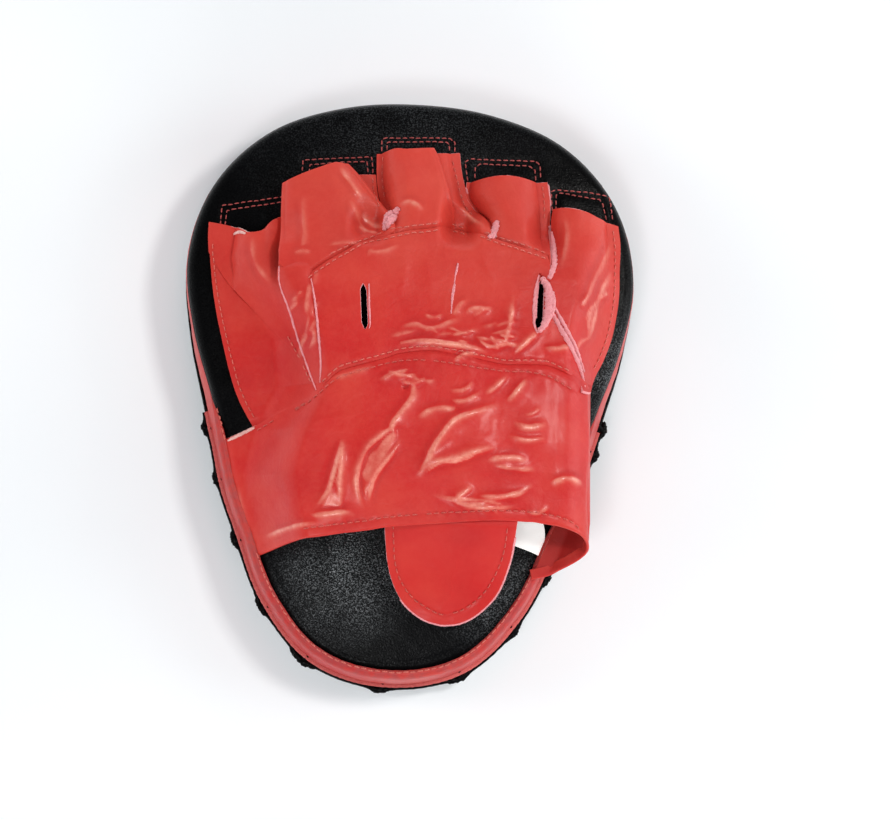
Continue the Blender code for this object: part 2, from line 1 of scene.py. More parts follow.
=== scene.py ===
"""A focus mitt: leather, thread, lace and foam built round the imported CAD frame.

The strike face lies down on the floor, the padded back faces up and the glove sits on it.
Lengths in the helpers are millimetres in the mitt's own plan (X across with the thumb at
-X, Y towards the fingertips, Z up); to_m() turns them into the frame's metres."""

import math
import random

import bpy
import numpy as np
from mathutils import Matrix, Vector
from mathutils.bvhtree import BVHTree


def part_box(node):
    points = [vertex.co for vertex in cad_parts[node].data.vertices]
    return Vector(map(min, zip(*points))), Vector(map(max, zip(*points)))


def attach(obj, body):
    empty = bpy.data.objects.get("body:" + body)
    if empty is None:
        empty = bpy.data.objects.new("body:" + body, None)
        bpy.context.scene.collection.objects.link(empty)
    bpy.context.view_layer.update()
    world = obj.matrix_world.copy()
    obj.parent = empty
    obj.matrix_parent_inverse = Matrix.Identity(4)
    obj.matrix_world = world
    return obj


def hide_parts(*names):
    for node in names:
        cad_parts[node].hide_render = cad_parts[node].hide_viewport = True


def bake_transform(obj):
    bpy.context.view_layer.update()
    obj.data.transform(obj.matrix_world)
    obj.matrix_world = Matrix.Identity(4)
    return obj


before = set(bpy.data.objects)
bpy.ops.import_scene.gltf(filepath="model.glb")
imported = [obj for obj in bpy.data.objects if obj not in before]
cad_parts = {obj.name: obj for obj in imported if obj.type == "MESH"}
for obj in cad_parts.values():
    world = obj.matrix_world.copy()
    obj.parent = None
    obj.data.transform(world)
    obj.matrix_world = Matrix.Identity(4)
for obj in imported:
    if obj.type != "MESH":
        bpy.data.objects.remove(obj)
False  # every run builds the full detail
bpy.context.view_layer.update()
patch_low, patch_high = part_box("target_patch")
PLAN_ORIGIN_Y = 500 * (patch_low[1] + patch_high[1])  # mm, the middle of the target patch
rng = random.Random(7)  # shared by the frayed rims and the stitches

EDGE_ROLL = 4.5  # radius of the rolled edge of the back panel
GLOVE_LIFT = 1.9  # glove leather over the back panel
WALL_LOW, WALL_HIGH = 12.9, 34.75  # heights of the side wall's edges
TARGET_RADIUS = 52
QUILT_RADIUS = 58  # quilted ring round the target
QUILT_INSET = 16  # quilted ring along the outline
STEP = 0.8  # spacing of the glove's mesh
SPLIT_X = 11.0  # line where the two halves of the cuff meet


# ------------------------------------------------------------------ points and curves
def as_points(line):
    """An array of points, also from text such as "x y, x y"."""
    if isinstance(line, str):
        line = [[float(number) for number in point.split()] for point in line.split(",")]
    return np.array(line, float)


def table(text):
    """Rows "numbers | x y, x y" ended by semicolons, as (numbers, points)."""
    for row in text.split(";"):
        numbers, line = row.split("|")
        yield [float(number) for number in numbers.split()], as_points(line)


def mix(start, end, share):
    return start + (end - start) * share


def smooth(share):
    share = np.clip(share, 0, 1)
    return share * share * (3 - 2 * share)


def bell(distance, width):
    return np.exp(-((distance / width) ** 2))


def taper(share, reach):
    """Rises from 0 and falls back to 0 over reach at both ends of a line."""
    return smooth(share / reach) * smooth((1 - share) / reach)


def catmull_rom(before, start, end, after, t):
    return 0.5 * (
        2 * start
        + (end - before) * t
        + (2 * before - 5 * start + 4 * end - after) * t**2
        + (3 * start - before - 3 * end + after) * t**3
    )


def arc(line):
    """Length along a polyline at each of its points."""
    return np.concatenate([[0], np.cumsum(np.linalg.norm(np.diff(line, axis=0), axis=1))])


def straight(line, count=60):
    """count points evenly spaced along a polyline."""
    line = as_points(line)
    lengths = arc(line)
    where = np.linspace(0, lengths[-1], count)
    return np.stack([np.interp(where, lengths, column) for column in line.T], 1)


def curve(line, count):
    """count points evenly spaced along a Catmull-Rom curve through the points."""
    line = as_points(line)
    ends = np.vstack([2 * line[0] - line[1], line, 2 * line[-1] - line[-2]])
    t = np.linspace(0, 1, 16, endpoint=False)[:, None]
    pieces = [catmull_rom(*ends[i : i + 4], t) for i in range(len(line) - 1)]
    return straight(np.vstack(pieces + [line[-1:]]), count)


# ------------------------------------------------------------------ outline and heights
# Radius of the back outline every 15 degrees, from +Y (fingertips) to -Y (wrist).
BACK_RADII = np.array([130, 131, 131.5, 126, 114, 98, 86.5, 82.5, 85.5, 92, 106, 119.5, 123])
LAST_RADIUS = len(BACK_RADII) - 1
# Where the glove starts to rise over the palm: y, x.
LEFT_FOOT = as_points("-75 -61, -60 -65, -40 -70, -20 -66, 0 -57, 20 -60, 42 -76, 64 -90")
RIGHT_FOOT = as_points("-80 110, -10 108, 7 90, 16 89, 47 93, 80 92")
RISE = as_points("-100 29, -20 28, 15 24, 60 19, 110 18")  # y, height over the back
# X range of each finger, from the thumb to the little finger.
FINGERS = ((-90, -57.4), (-57, -19.8), (-19.2, 20), (20.6, 57.6), (58.2, 91))


def back_radius(angle):
    """Radius of the back outline, with the angle measured from +Y."""
    place = np.abs((np.degrees(angle) + 180) % 360 - 180) / 15
    i = np.minimum(LAST_RADIUS - 1, place.astype(int))

    def at(j):
        j = np.abs(j)
        return BACK_RADII[np.where(j > LAST_RADIUS, 2 * LAST_RADIUS - j, j)]

    return catmull_rom(at(i - 1), at(i), at(i + 1), at(i + 2), place - i)


def flare(angle):
    """How far the strike face stands outside the back outline."""
    return mix(2, 6, smooth((0.55 - np.cos(angle)) / 0.8))


def ring_at(angle, out):
    """Plan points outside the back outline by out."""
    angle = np.asarray(angle, float)
    before, after = angle - 0.01, angle + 0.01
    radius0, radius1, radius = back_radius(before), back_radius(after), back_radius(angle)
    along_x = radius1 * np.sin(after) - radius0 * np.sin(before)
    along_y = radius1 * np.cos(after) - radius0 * np.cos(before)
    size = np.hypot(along_x, along_y)
    return (
        radius * np.sin(angle) - along_y / size * out,
        radius * np.cos(angle) + along_x / size * out,
    )


def inset_of(x, y):
    """Distance inside the back outline."""
    angle, reach = np.arctan2(x, y), np.hypot(x, y)
    slope = (back_radius(angle + 0.01) - back_radius(angle - 0.01)) / 0.02
    return (back_radius(angle) - reach) / np.sqrt(1 + (slope / np.maximum(reach, 1)) ** 2)


def back_z(x, y):
    """Outside of the padded back panel: a dome with a rolled edge."""
    share = np.hypot(x, y) / back_radius(np.arctan2(x, y))
    z = 46 - 7 * np.minimum(1.02, share) ** 2.2
    left = EDGE_ROLL - np.clip(inset_of(x, y), 0, EDGE_ROLL)
    return z - (EDGE_ROLL - np.sqrt(np.maximum(0, EDGE_ROLL**2 - left**2)))


def palm_rise(x, y):
    left = smooth((x - np.interp(y, *LEFT_FOOT.T)) / 26)
    right = smooth((np.interp(y, *RIGHT_FOOT.T) - x) / 22)
    return np.interp(y, *RISE.T) * left * right


def finger_rise(x):
    rise = 0
    for start, end in FINGERS:
        rise = np.maximum(rise, 18 * smooth((x - start - 2) / 8) * smooth((end - 2 - x) / 8))
    return rise


def glove_z(x, y):
    """Outside of the glove leather before wrinkles."""
    rise = mix(palm_rise(x, y), finger_rise(x), smooth((y - 60) / 16))
    return back_z(x, y) + GLOVE_LIFT + rise


# ------------------------------------------------------------------ noise
def cell_hash(column, row, seed):
    bits = (column * 374761393 + row * 668265263 + seed * 974634777) & 0x7FFFFFFF
    bits = ((bits ^ (bits >> 13)) * 1274126177) & 0x7FFFFFFF
    return ((bits ^ (bits >> 16)) & 0xFFFF) / 65535


def noise(x, y, seed=0):
    """Gradient noise, about -0.7 to 0.7."""
    x, y = np.asarray(x, float), np.asarray(y, float)
    column, row = np.floor(x).astype(np.int64), np.floor(y).astype(np.int64)
    in_x, in_y = x - column, y - row
    share_x, share_y = (t**3 * (t * (t * 6 - 15) + 10) for t in (in_x, in_y))

    def corner(i, j):
        turn = cell_hash(column + i, row + j, seed) * 2 * math.pi
        return np.cos(turn) * (in_x - i) + np.sin(turn) * (in_y - j)

    near = mix(corner(0, 0), corner(1, 0), share_x)
    return mix(near, mix(corner(0, 1), corner(1, 1), share_x), share_y)


def clouds(x, y, size, seed, octaves):
    """Noise with finer and weaker noise added to it."""
    return sum(
        0.5**i * noise(x / size * 2**i, y / size * 2**i, seed + 17 * i) for i in range(octaves)
    )


def ridges(x, y, size, seed):
    """Thin crests, 0 to 1, like the creases of soft leather."""
    bent_x = x + 0.35 * size * noise(x / size * 0.9, y / size * 0.9, seed + 5)
    bent_y = y + 0.35 * size * noise(x / size * 0.9, y / size * 0.9, seed + 6)
    return np.clip(1 - np.abs(noise(bent_x / size, bent_y / size, seed)) * 3.2, 0, 1) ** 2


# ------------------------------------------------------------------ lines on the leather
def near_line(x, y, line, reach):
    """Index of the points within reach of a polyline, their distance to it, share along
    it and side (+1 left)."""
    first, last = line.min(0) - reach, line.max(0) + reach
    flat_x, flat_y = x.ravel(), y.ravel()
    inside_x = (flat_x > first[0]) & (flat_x < last[0])
    idx = np.nonzero(inside_x & (flat_y > first[1]) & (flat_y < last[1]))[0]
    best = np.full(len(idx), 1e9)
    share, side = np.zeros(len(idx)), np.ones(len(idx))
    parts = np.diff(line, axis=0)
    sizes = np.hypot(parts[:, 0], parts[:, 1])
    total, done = sizes.sum(), 0
    for start, part, size in zip(line, parts, sizes):
        from_x, from_y = flat_x[idx] - start[0], flat_y[idx] - start[1]
        t = np.clip((from_x * part[0] + from_y * part[1]) / max(1e-9, size**2), 0, 1)
        gap = np.hypot(from_x - t * part[0], from_y - t * part[1])
        closer = gap < best
        best = np.where(closer, gap, best)
        share = np.where(closer, (done + t * size) / total, share)
        cross = part[0] * from_y - part[1] * from_x
        side = np.where(closer, np.where(cross >= 0, 1.0, -1.0), side)
        done += size
    return idx, best, share, side


FOLDS = []  # creases pressed into the glove: line, height, width on its left and right
GROOVES = []  # stitch rows press the leather down: line, depth


def fold(line, height, left, right=None):
    FOLDS.append((curve(line, max(6, 5 * len(line))), 1.12 * height, left, right or left))


def groove(line, depth):
    GROOVES.append((curve(line, max(8, 6 * len(line))), depth))


def near_fold(x, y, k, reach):
    """Points near fold k: index, wavering distance (+ left), share along it, x and y."""
    line, height = FOLDS[k][:2]
    idx, gap, share, side = near_line(x, y, line, reach)
    near_x, near_y = x.ravel()[idx], y.ravel()[idx]
    gap = side * gap + 1.1 * noise(near_x / 15, near_y / 15, 300 + k) * min(1, height)
    return idx, gap, share, near_x, near_y


def steep_left(k):
    return cell_hash(k, 3, 9) > 0.5


def detail(x, y):
    """Height of the wrinkles and seams over the smooth glove."""
    rise = np.zeros(x.size)
    for outline, height, soft, _ in FACETS:
        idx, amount = inside_of(x, y, outline, soft)
        rise[idx] += height * amount
    for k, (_, height, left, right) in enumerate(FOLDS):
        # A crease of leather: a fine crest with a steep flank and a long soft one.
        idx, gap, share, *_ = near_fold(x, y, k, 7.5 * max(left, right))
        scales = (0.62, 1.7) if steep_left(k) else (1.7, 0.62)
        width = np.where(gap > 0, left * scales[0], right * scales[1])
        rounding = 0.55
        crest = np.exp(-(np.sqrt(gap * gap + rounding * rounding) - rounding) / width)
        uneven = 0.92 + 0.3 * noise(share * 2.5, k, 77)
        rise[idx] += height * crest * taper(share, 0.35) * uneven
    for line, depth in GROOVES:
        idx, gap, share, _ = near_line(x, y, line, 3)
        rise[idx] -= depth * (0.75 + 0.5 * noise(share * 60, 3, 11)) * bell(gap, 0.8)
    return rise.reshape(x.shape)


def inside_of(x, y, outline, soft):
    """0 outside a closed outline, rising to 1 over a soft border within it."""
    idx, gap, *_ = near_line(x, y, np.vstack([outline, outline[:1]]), 60)
    near_x, near_y = x.ravel()[idx], y.ravel()[idx]
    within = np.zeros(len(idx), bool)
    for (x0, y0), (x1, y1) in zip(outline, np.roll(outline, -1, axis=0)):
        crossing = (y0 > near_y) != (y1 > near_y)
        at = x0 + (x1 - x0) * (near_y - y0) / (y1 - y0 if abs(y1 - y0) > 1e-9 else 1e-9)
        within ^= crossing & (near_x < at)
    return idx, np.where(within, smooth(gap / soft), 0)


def fold_light_and_shade_of(x, y):
    """Up to 1 on the crests of the folds, a painted highlight with some wear, and down to
    -1 for painted shade at their foot."""
    painted_highlight, dark = np.zeros(x.size), np.zeros(x.size)
    for k, (line, height, left, right) in enumerate(FOLDS):
        if height < 0.68 and left > 1.9:
            continue  # a soft swell, too low for a painted highlight
        width = 0.40 * min(left, right, 1.9) + 0.45
        middle = line[:, 1].mean()
        dim = 0.4 if left >= 2 and middle > 30 else (0.78 if middle > 22 else 1)
        idx, gap, share, near_x, near_y = near_fold(x, y, k, 6 * width)
        gap = gap + 0.22 * noise(near_x / 2.6, near_y / 2.6, 400 + k)
        ends = taper(share, 0.3)
        patchy = np.clip(0.80 + 0.9 * noise(share * 3 + k, 2, 78), 0.15, 1)
        line_shape = 0.74 * bell(gap, 0.85 * width) + 0.26 * bell(gap, 1.7 * width)
        mark = dim * np.clip(height / 1.25, 0.2, 1) * line_shape * ends * patchy
        painted_highlight[idx] = np.maximum(painted_highlight[idx], mark)
        # Painted shade at the foot of the fold, beside its steep flank.
        foot = bell(gap - (1 if steep_left(k) else -1) * 2.1 * width, 1.1 * width) * ends
        dark[idx] = np.maximum(dark[idx], np.clip(height / 1.6, 0.15, 1) * foot)
    # The raised flats get a painted highlight as well.
    for outline, _, soft, tint in FACETS:
        idx, amount = inside_of(x, y, outline, soft)
        near_x, near_y = x.ravel()[idx], y.ravel()[idx]
        patchy = np.clip(0.62 + 0.8 * noise(near_x / 5, near_y / 5, 79), 0.1, 1)
        painted_highlight[idx] = np.maximum(painted_highlight[idx], tint * amount * patchy)
    return (painted_highlight - dark * (1 - np.clip(2.5 * painted_highlight, 0, 1))).reshape(x.shape)


# ------------------------------------------------------------------ materials
def srgb(*colour):
    """Linear colour from 0 to 255 sRGB."""
    return tuple(((c / 255 + 0.055) / 1.055) ** 2.4 if c > 10 else c / 255 / 12.92 for c in colour)


class Nodes:
    """A material under construction."""

    def __init__(self, name):
        self.material = bpy.data.materials.new(name)
        self.material.use_nodes = True
        self.tree = self.material.node_tree
        self.coord = self.add("ShaderNodeTexCoord").outputs["Object"]

    def put(self, socket, value):
        """Links an output to the socket, or sets its value."""
        if hasattr(value, "is_output"):
            self.tree.links.new(value, socket)
        else:
            socket.default_value = value

    def add(self, kind, **values):
        """A node: lower-case names are settings, the others are its inputs."""
        node = self.tree.nodes.new(kind)
        for key, value in values.items():
            if key[0].islower():
                setattr(node, key, value)
            else:
                self.put(node.inputs[key.replace("_", " ")], value)
        return node

    def noise(self, scale, detail=4, rough=0.5, distortion=0, vector=None):
        return self.add(
            "ShaderNodeTexNoise", Vector=vector or self.coord, Scale=scale, Detail=detail,
            Roughness=rough, Distortion=distortion,
        ).outputs["Fac"]

    def voronoi(self, scale, feature="F1", vector=None, **inputs):
        return self.add(
            "ShaderNodeTexVoronoi", feature=feature, Vector=vector or self.coord, Scale=scale,
            **inputs,
        ).outputs["Distance"]

    def wave(self, direction, **inputs):
        return self.add(
            "ShaderNodeTexWave", bands_direction=direction, Vector=self.coord, **inputs
        ).outputs["Fac"]

    def stretch(self, scale, turn=0):
        return self.add(
            "ShaderNodeMapping", Vector=self.coord, Scale=scale, Rotation=(0, 0, turn)
        ).outputs["Vector"]

    def ramp(self, fac, *stops):
        """Colours or grey values by position."""
        node = self.add("ShaderNodeValToRGB", Fac=fac)
        elements = node.color_ramp.elements
        while len(elements) < len(stops):
            elements.new(0.5)
        for element, (position, colour) in zip(elements, stops):
            element.position = position
            rgb = colour if isinstance(colour, tuple) else (colour,) * 3
            element.color = (*rgb, 1)
        return node.outputs["Color"]

    def math(self, operation, first, second):
        node = self.add("ShaderNodeMath", operation=operation)
        self.put(node.inputs[0], first)
        self.put(node.inputs[1], second)
        return node.outputs[0]

    def blend(self, share, under, over):
        """The under colour turned towards the fixed colour over."""
        node = self.add("ShaderNodeMix", data_type="RGBA")
        for i, value in ((0, share), (6, under), (7, (*over, 1))):
            self.put(node.inputs[i], value)
        return node.outputs[2]

    def cover(self, under, mask, amount, over):
        return self.blend(self.math("MULTIPLY", mask, amount), under, over)

    def bump(self, height, distance, strength, normal=None):
        node = self.add("ShaderNodeBump", Height=height, Distance=distance, Strength=strength)
        if normal is not None:
            self.put(node.inputs["Normal"], normal)
        return node.outputs["Normal"]

    def out(self, **inputs):
        shader = self.tree.nodes["Principled BSDF"]
        for key, value in inputs.items():
            self.put(shader.inputs[key.replace("_", " ")], value)
        return self.material


def red_leather(name, creased=1.0, tone=1.0, gloss=0.0, dull=0.0):
    mat = Nodes(name)
    base, deep, warm = (
        tuple(min(1, c * tone) for c in srgb(*colour))
        for colour in ((200, 34, 33), (191, 28, 29), (206, 48, 40))
    )
    cloud = mat.noise(scale=28, detail=3, rough=0.55)
    tint = mat.ramp(cloud, (0.35, deep), (0.52, base), (0.72, warm))
    # Painted light: lighter and more orange towards the fingertips, where the sleeves catch the
    # light; the dye is also thinner in faded patches.
    along = mat.add("ShaderNodeSeparateXYZ", Vector=mat.coord).outputs["Y"]
    upper = mat.ramp(mat.math("MULTIPLY", along, 8), (0.15, 0), (0.65, 1))
    patches = mat.noise(scale=21, detail=3, rough=0.6, distortion=0.6)
    faded = mat.ramp(patches, (0.44, 0), (0.64, 1))
    # fade carries the painted light towards the fingertips along with the faded patches of dye.
    fade = mat.math(
        "ADD",
        mat.math("MULTIPLY", upper, 0.30 * creased),
        mat.math("MULTIPLY", faded, 0.14 * creased),
    )
    tint = mat.blend(fade, tint, srgb(218, 96, 76))
    mottle = mat.ramp(mat.noise(scale=380, detail=4, rough=0.7), (0.40, 0), (0.62, 1))
    tint = mat.cover(tint, mottle, 0.07 * creased, srgb(226, 104, 86))
    # Painted highlight on the crests of folds, with some wear, and painted shade down in the
    # creases.
    shape = mat.add("ShaderNodeNewGeometry").outputs["Pointiness"]
    crest = mat.ramp(shape, (0.49, 0), (0.56, 1))
    crease_shade = mat.ramp(shape, (0.42, 1), (0.495, 0))
    tint = mat.cover(tint, crest, 0.22, srgb(222, 74, 60))
    tint = mat.cover(tint, crease_shade, 0.28, srgb(140, 22, 26))
    # The crest attribute brings painted highlight on the folds' crests (above 0) and painted shade
    # at their foot (below 0).
    fold_light_marks = mat.add("ShaderNodeAttribute", attribute_name="crest").outputs["Fac"]
    wear_and_highlight = mat.math("MAXIMUM", fold_light_marks, 0)
    shade = mat.math("MAXIMUM", mat.math("MULTIPLY", fold_light_marks, -1), 0)
    tint = mat.cover(tint, shade, 0.26, srgb(158, 24, 27))
    # Pale salmon streaks of painted highlight along the crests, which are also glossier there.
    streak_noise = mat.noise(scale=420, detail=3, rough=0.6, distortion=0.4)
    highlight_streak = mat.ramp(streak_noise, (0.34, 0.55), (0.64, 1))
    tint = mat.cover(tint, mat.math("MULTIPLY", wear_and_highlight, highlight_streak), 1, srgb(246, 164, 142))
    if dull:
        scuff_noise = mat.noise(scale=260, detail=3, rough=0.6)
        scuffs = mat.ramp(scuff_noise, (0.36, 0.5 * dull), (0.62, 1.3 * dull))
        tint = mat.blend(scuffs, tint, srgb(137, 78, 80))
    pores = mat.voronoi(scale=1900, feature="SMOOTH_F1", Smoothness=0.4)
    hair_way = mat.stretch(scale=(1, 0.45, 1), turn=0.5)
    hair = mat.noise(scale=900, detail=3, rough=0.6, distortion=0.6, vector=hair_way)
    soft = mat.noise(scale=160, detail=4, rough=0.62, distortion=1.2)
    crinkle_way = mat.stretch(scale=(1, 1.5, 1), turn=0.4)
    crinkle = mat.voronoi(scale=120, feature="DISTANCE_TO_EDGE", vector=crinkle_way)
    lines = mat.ramp(crinkle, (0, 0), (0.09, 1))
    normal = mat.bump(pores, distance=0.00005, strength=0.5)
    normal = mat.bump(hair, distance=0.00009, strength=0.6, normal=normal)
    normal = mat.bump(lines, distance=0.00008 * creased, strength=0.35, normal=normal)
    normal = mat.bump(soft, distance=0.00028 * creased, strength=0.8, normal=normal)
    rough_noise = mat.noise(scale=70, detail=4, rough=0.6)
    rough = mat.ramp(rough_noise, (0.3, 0.40 - gloss), (0.7, 0.56 - gloss))
    rough = mat.math("SUBTRACT", rough, mat.math("MULTIPLY", wear_and_highlight, 0.20))
    coat = mat.math("ADD", 0.10, mat.math("MULTIPLY", wear_and_highlight, 0.55))
    return mat.out(
        Base_Color=tint, Roughness=rough, Normal=normal, Specular_IOR_Level=0.30,
        Coat_Weight=coat, Coat_Roughness=0.20,
    )


# Spots of painted sheen, where the tops of the black grain are painted pale as if they caught the
# light: centre in metres, then the ramp's near and far ends (tenths of a metre) and its strength.
SHEEN_SPOTS = (
    ((-0.022, -0.078, 0.046), 0.02, 0.36, 1.0),
    ((0.047, -0.086, 0.044), 0.04, 0.32, 0.8),
    ((-0.010, 0.122, 0.042), 0.10, 0.80, 0.22),
    ((0.087, 0.018, 0.043), 0.06, 0.34, 0.65),
)


def black_leather(name, grain):
    mat = Nodes(name)
    pebble = mat.voronoi(
        scale=1250, feature="SMOOTH_F1", Smoothness=0.30, vector=mat.stretch(scale=(1, 1, 1))
    )
    fine = mat.noise(scale=2600, detail=3, rough=0.6)
    cloud = mat.noise(scale=24, detail=3, rough=0.5)
    base = mat.ramp(cloud, (0.3, 0.0014), (0.7, (0.0026, 0.0026, 0.0031)))
    tops = mat.ramp(pebble, (0, 1), (0.55, 0))
    base = mat.cover(base, tops, 0.20, (0.006, 0.0065, 0.0075))
    normal = mat.bump(fine, distance=0.00004, strength=0.6)
    pebble_height = mat.ramp(pebble, (0, 1), (0.75, 0))
    normal = mat.bump(pebble_height, distance=0.00009 * grain, strength=0.8, normal=normal)
    swell = mat.noise(scale=90, detail=3, rough=0.5)
    normal = mat.bump(swell, distance=0.0004, strength=0.5, normal=normal)
    rough_noise = mat.noise(scale=1100, detail=2, rough=0.6)
    rough = mat.ramp(rough_noise, (0.36, 0.24), (0.64, 0.38))
    # In the sheen spots the tops of the grain are painted pale, a painted reflection, and the
    # specular level is raised there as well.
    specks = mat.ramp(mat.noise(scale=1500, detail=2, rough=0.7), (0.49, 0), (0.63, 1))
    sheen_mask = 0
    for spot, near, far, amount in SHEEN_SPOTS:
        reach = mat.add("ShaderNodeVectorMath", operation="DISTANCE")
        mat.put(reach.inputs[0], mat.coord)
        mat.put(reach.inputs[1], spot)
        reach_tenths = mat.math("MULTIPLY", reach.outputs["Value"], 10)
        sheen_mask = mat.math("MAXIMUM", mat.ramp(reach_tenths, (near, amount), (far, 0)), sheen_mask)
    blotch = mat.ramp(mat.noise(scale=70, detail=3, rough=0.6), (0.36, 0.45), (0.60, 1))
    sheen_mask = mat.math("MULTIPLY", sheen_mask, blotch)
    base = mat.cover(base, mat.math("MULTIPLY", specks, sheen_mask), 0.95, (0.165, 0.180, 0.190))
    base = mat.cover(base, sheen_mask, 0.10, (0.050, 0.056, 0.062))
    polish = mat.math("ADD", 0.04, mat.math("MULTIPLY", sheen_mask, 0.55))
    shine = mat.math("ADD", 0.06, mat.math("MULTIPLY", specks, polish))
    return mat.out(Base_Color=base, Roughness=rough, Normal=normal, Specular_IOR_Level=shine)


def raw_edge(name, light, dark):
    mat = Nodes(name)
    fibre = mat.noise(
        scale=1500, detail=5, rough=0.75, distortion=1.5, vector=mat.stretch(scale=(1, 1, 0.35))
    )
    return mat.out(
        Base_Color=mat.ramp(fibre, (0.3, srgb(*dark)), (0.68, srgb(*light))), Roughness=0.92,
        Normal=mat.bump(fibre, distance=0.0003, strength=0.9), Sheen_Weight=0.3,
        Sheen_Roughness=0.6, Specular_IOR_Level=0.2,
    )


def thread_material(name, light, dark):
    mat = Nodes(name)
    twist = mat.wave("DIAGONAL", Scale=900, Distortion=1.5)
    return mat.out(
        Base_Color=mat.ramp(twist, (0.2, srgb(*dark)), (0.8, srgb(*light))), Roughness=0.55,
        Normal=mat.bump(twist, distance=0.00012, strength=0.9), Sheen_Weight=0.1,
    )


def foam_material(name, light, dark, scale):
    mat = Nodes(name)
    cells = mat.voronoi(scale=scale)
    return mat.out(
        Base_Color=mat.ramp(cells, (0, dark), (0.5, light)), Roughness=0.95,
        Normal=mat.bump(cells, distance=0.0004, strength=0.8), Specular_IOR_Level=0.15,
    )


def label_material(name):
    mat = Nodes(name)
    weave = mat.math("MULTIPLY", mat.wave("X", Scale=700), mat.wave("Y", Scale=700))
    # Emission makes the label glow: painted light that brightens it in the shade under the cuff.
    return mat.out(
        Base_Color=mat.ramp(weave, (0, srgb(226, 224, 220)), (0.6, srgb(252, 252, 250))),
        Roughness=0.7, Normal=mat.bump(weave, distance=0.00008, strength=0.8),
        Sheen_Weight=0.3, Emission_Color=(0.95, 0.95, 0.93, 1), Emission_Strength=0.52,
    )


def floor_material(name):
    mat = Nodes(name)
    cloud = mat.noise(scale=3, detail=3, rough=0.5)
    tint = mat.ramp(cloud, (0.35, srgb(237, 242, 245)), (0.7, srgb(249, 252, 254)))
    grain = mat.noise(scale=500, detail=3, rough=0.5)
    return mat.out(
        Base_Color=tint, Roughness=0.9, Normal=mat.bump(grain, distance=0.0001, strength=0.15),
        Specular_IOR_Level=0.1, Emission_Color=(0.97, 0.98, 1, 1), Emission_Strength=0.07,
    )


RED = red_leather("red_leather_glove")
RED_FLAT = red_leather("red_leather_flat", creased=0.45)
RED_WALL = red_leather("red_leather_wall", creased=0.5, tone=0.88, gloss=0.04)
RED_BINDING = red_leather("red_leather_binding", creased=1.2, gloss=-0.14, dull=0.4)
# A darker copy of the red leather for inner faces and under layers: painted shade.
RED_SHADED_INNER = red_leather("red_leather_inner_shaded", creased=0.4, tone=0.78)
BLACK = black_leather("black_leather_back", grain=1.0)
BLACK_FACE = black_leather("black_leather_face", grain=0.8)
BLACK_LACE = black_leather("black_leather_lace", grain=0.5)
RAW = raw_edge("raw_leather_edge", light=(248, 176, 182), dark=(220, 108, 112))
RAW_DULL = raw_edge("raw_leather_dull", light=(222, 112, 106), dark=(176, 56, 56))
RAW_PALE = raw_edge("raw_leather_pale", light=(250, 214, 206), dark=(226, 150, 140))
THREAD = thread_material("thread_red", light=(222, 104, 98), dark=(150, 44, 44))
THREAD_PALE = thread_material("thread_salmon", light=(238, 136, 120), dark=(198, 68, 60))
THREAD_DARK = thread_material("thread_deep_red", light=(228, 108, 94), dark=(184, 52, 48))
LABEL = label_material("label_fabric")
FLOOR = floor_material("floor_paper")


# ------------------------------------------------------------------ mesh makers
def to_m(verts):
    return (np.asarray(verts, float) + (0, PLAN_ORIGIN_Y, 0)) * 0.001


def new_object(name, verts, faces, mats, face_mats=None, sharp=35):
    mesh = bpy.data.meshes.new(name)
    faces = [tuple(int(i) for i in face) for face in faces]
    mesh.from_pydata(to_m(verts).tolist(), [], faces)
    for material in mats:
        mesh.materials.append(material)
    if face_mats is not None:
        mesh.polygons.foreach_set("material_index", np.asarray(face_mats, np.int32))
    mesh.update()
    mesh.shade_smooth()
    if sharp:
        mesh.set_sharp_from_angle(angle=math.radians(sharp))
    obj = bpy.data.objects.new(name, mesh)
    bpy.context.scene.collection.objects.link(obj)
    return obj


def place(obj, *nodes):
    """Fixes a piece to the root and lets it stand for the CAD nodes."""
    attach(obj, "root")
    if nodes:
        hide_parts(*nodes)
    return obj


def shares(length, step=STEP):
    return np.linspace(0, 1, max(4, int(round(length / step)) + 1))


def sheet(top, bottom, left, right, width, height, step=STEP):
    """Coons grid between four edge curves: x, y, share across and share down.  Top and
    bottom run left to right, left and right run top to bottom."""
    fine = 400
    top, bottom, left, right = (curve(line, fine) for line in (top, bottom, left, right))
    top[0] = left[0] = (top[0] + left[0]) / 2
    top[-1] = right[0] = (top[-1] + right[0]) / 2
    bottom[0] = left[-1] = (bottom[0] + left[-1]) / 2
    bottom[-1] = right[-1] = (bottom[-1] + right[-1]) / 2
    base = np.linspace(0, 1, fine)
    across, down = shares(width, step), shares(height, step)

    def at(line, share):
        return np.stack([np.interp(share, base, column) for column in line.T], 1)

    u, v = across[None, :, None], down[:, None, None]
    between_rows = (1 - v) * at(top, across)[None] + v * at(bottom, across)[None]
    between_columns = (1 - u) * at(left, down)[:, None] + u * at(right, down)[:, None]
    upper = (1 - u) * (1 - v) * top[0] + u * (1 - v) * top[-1]
    lower = (1 - u) * v * bottom[0] + u * v * bottom[-1]
    grid = between_rows + between_columns - (upper + lower)
    return (grid[..., 0], grid[..., 1], *np.meshgrid(across, down))


def grid_normals(grid):
    """Normals of a grid, on the whole turned upwards."""
    normal = np.cross(np.gradient(grid, axis=0), np.gradient(grid, axis=1))
    normal /= np.maximum(1e-9, np.linalg.norm(normal, axis=-1, keepdims=True))
    return np.where(np.nanmean(normal[..., 2:3]) < 0, -normal, normal)


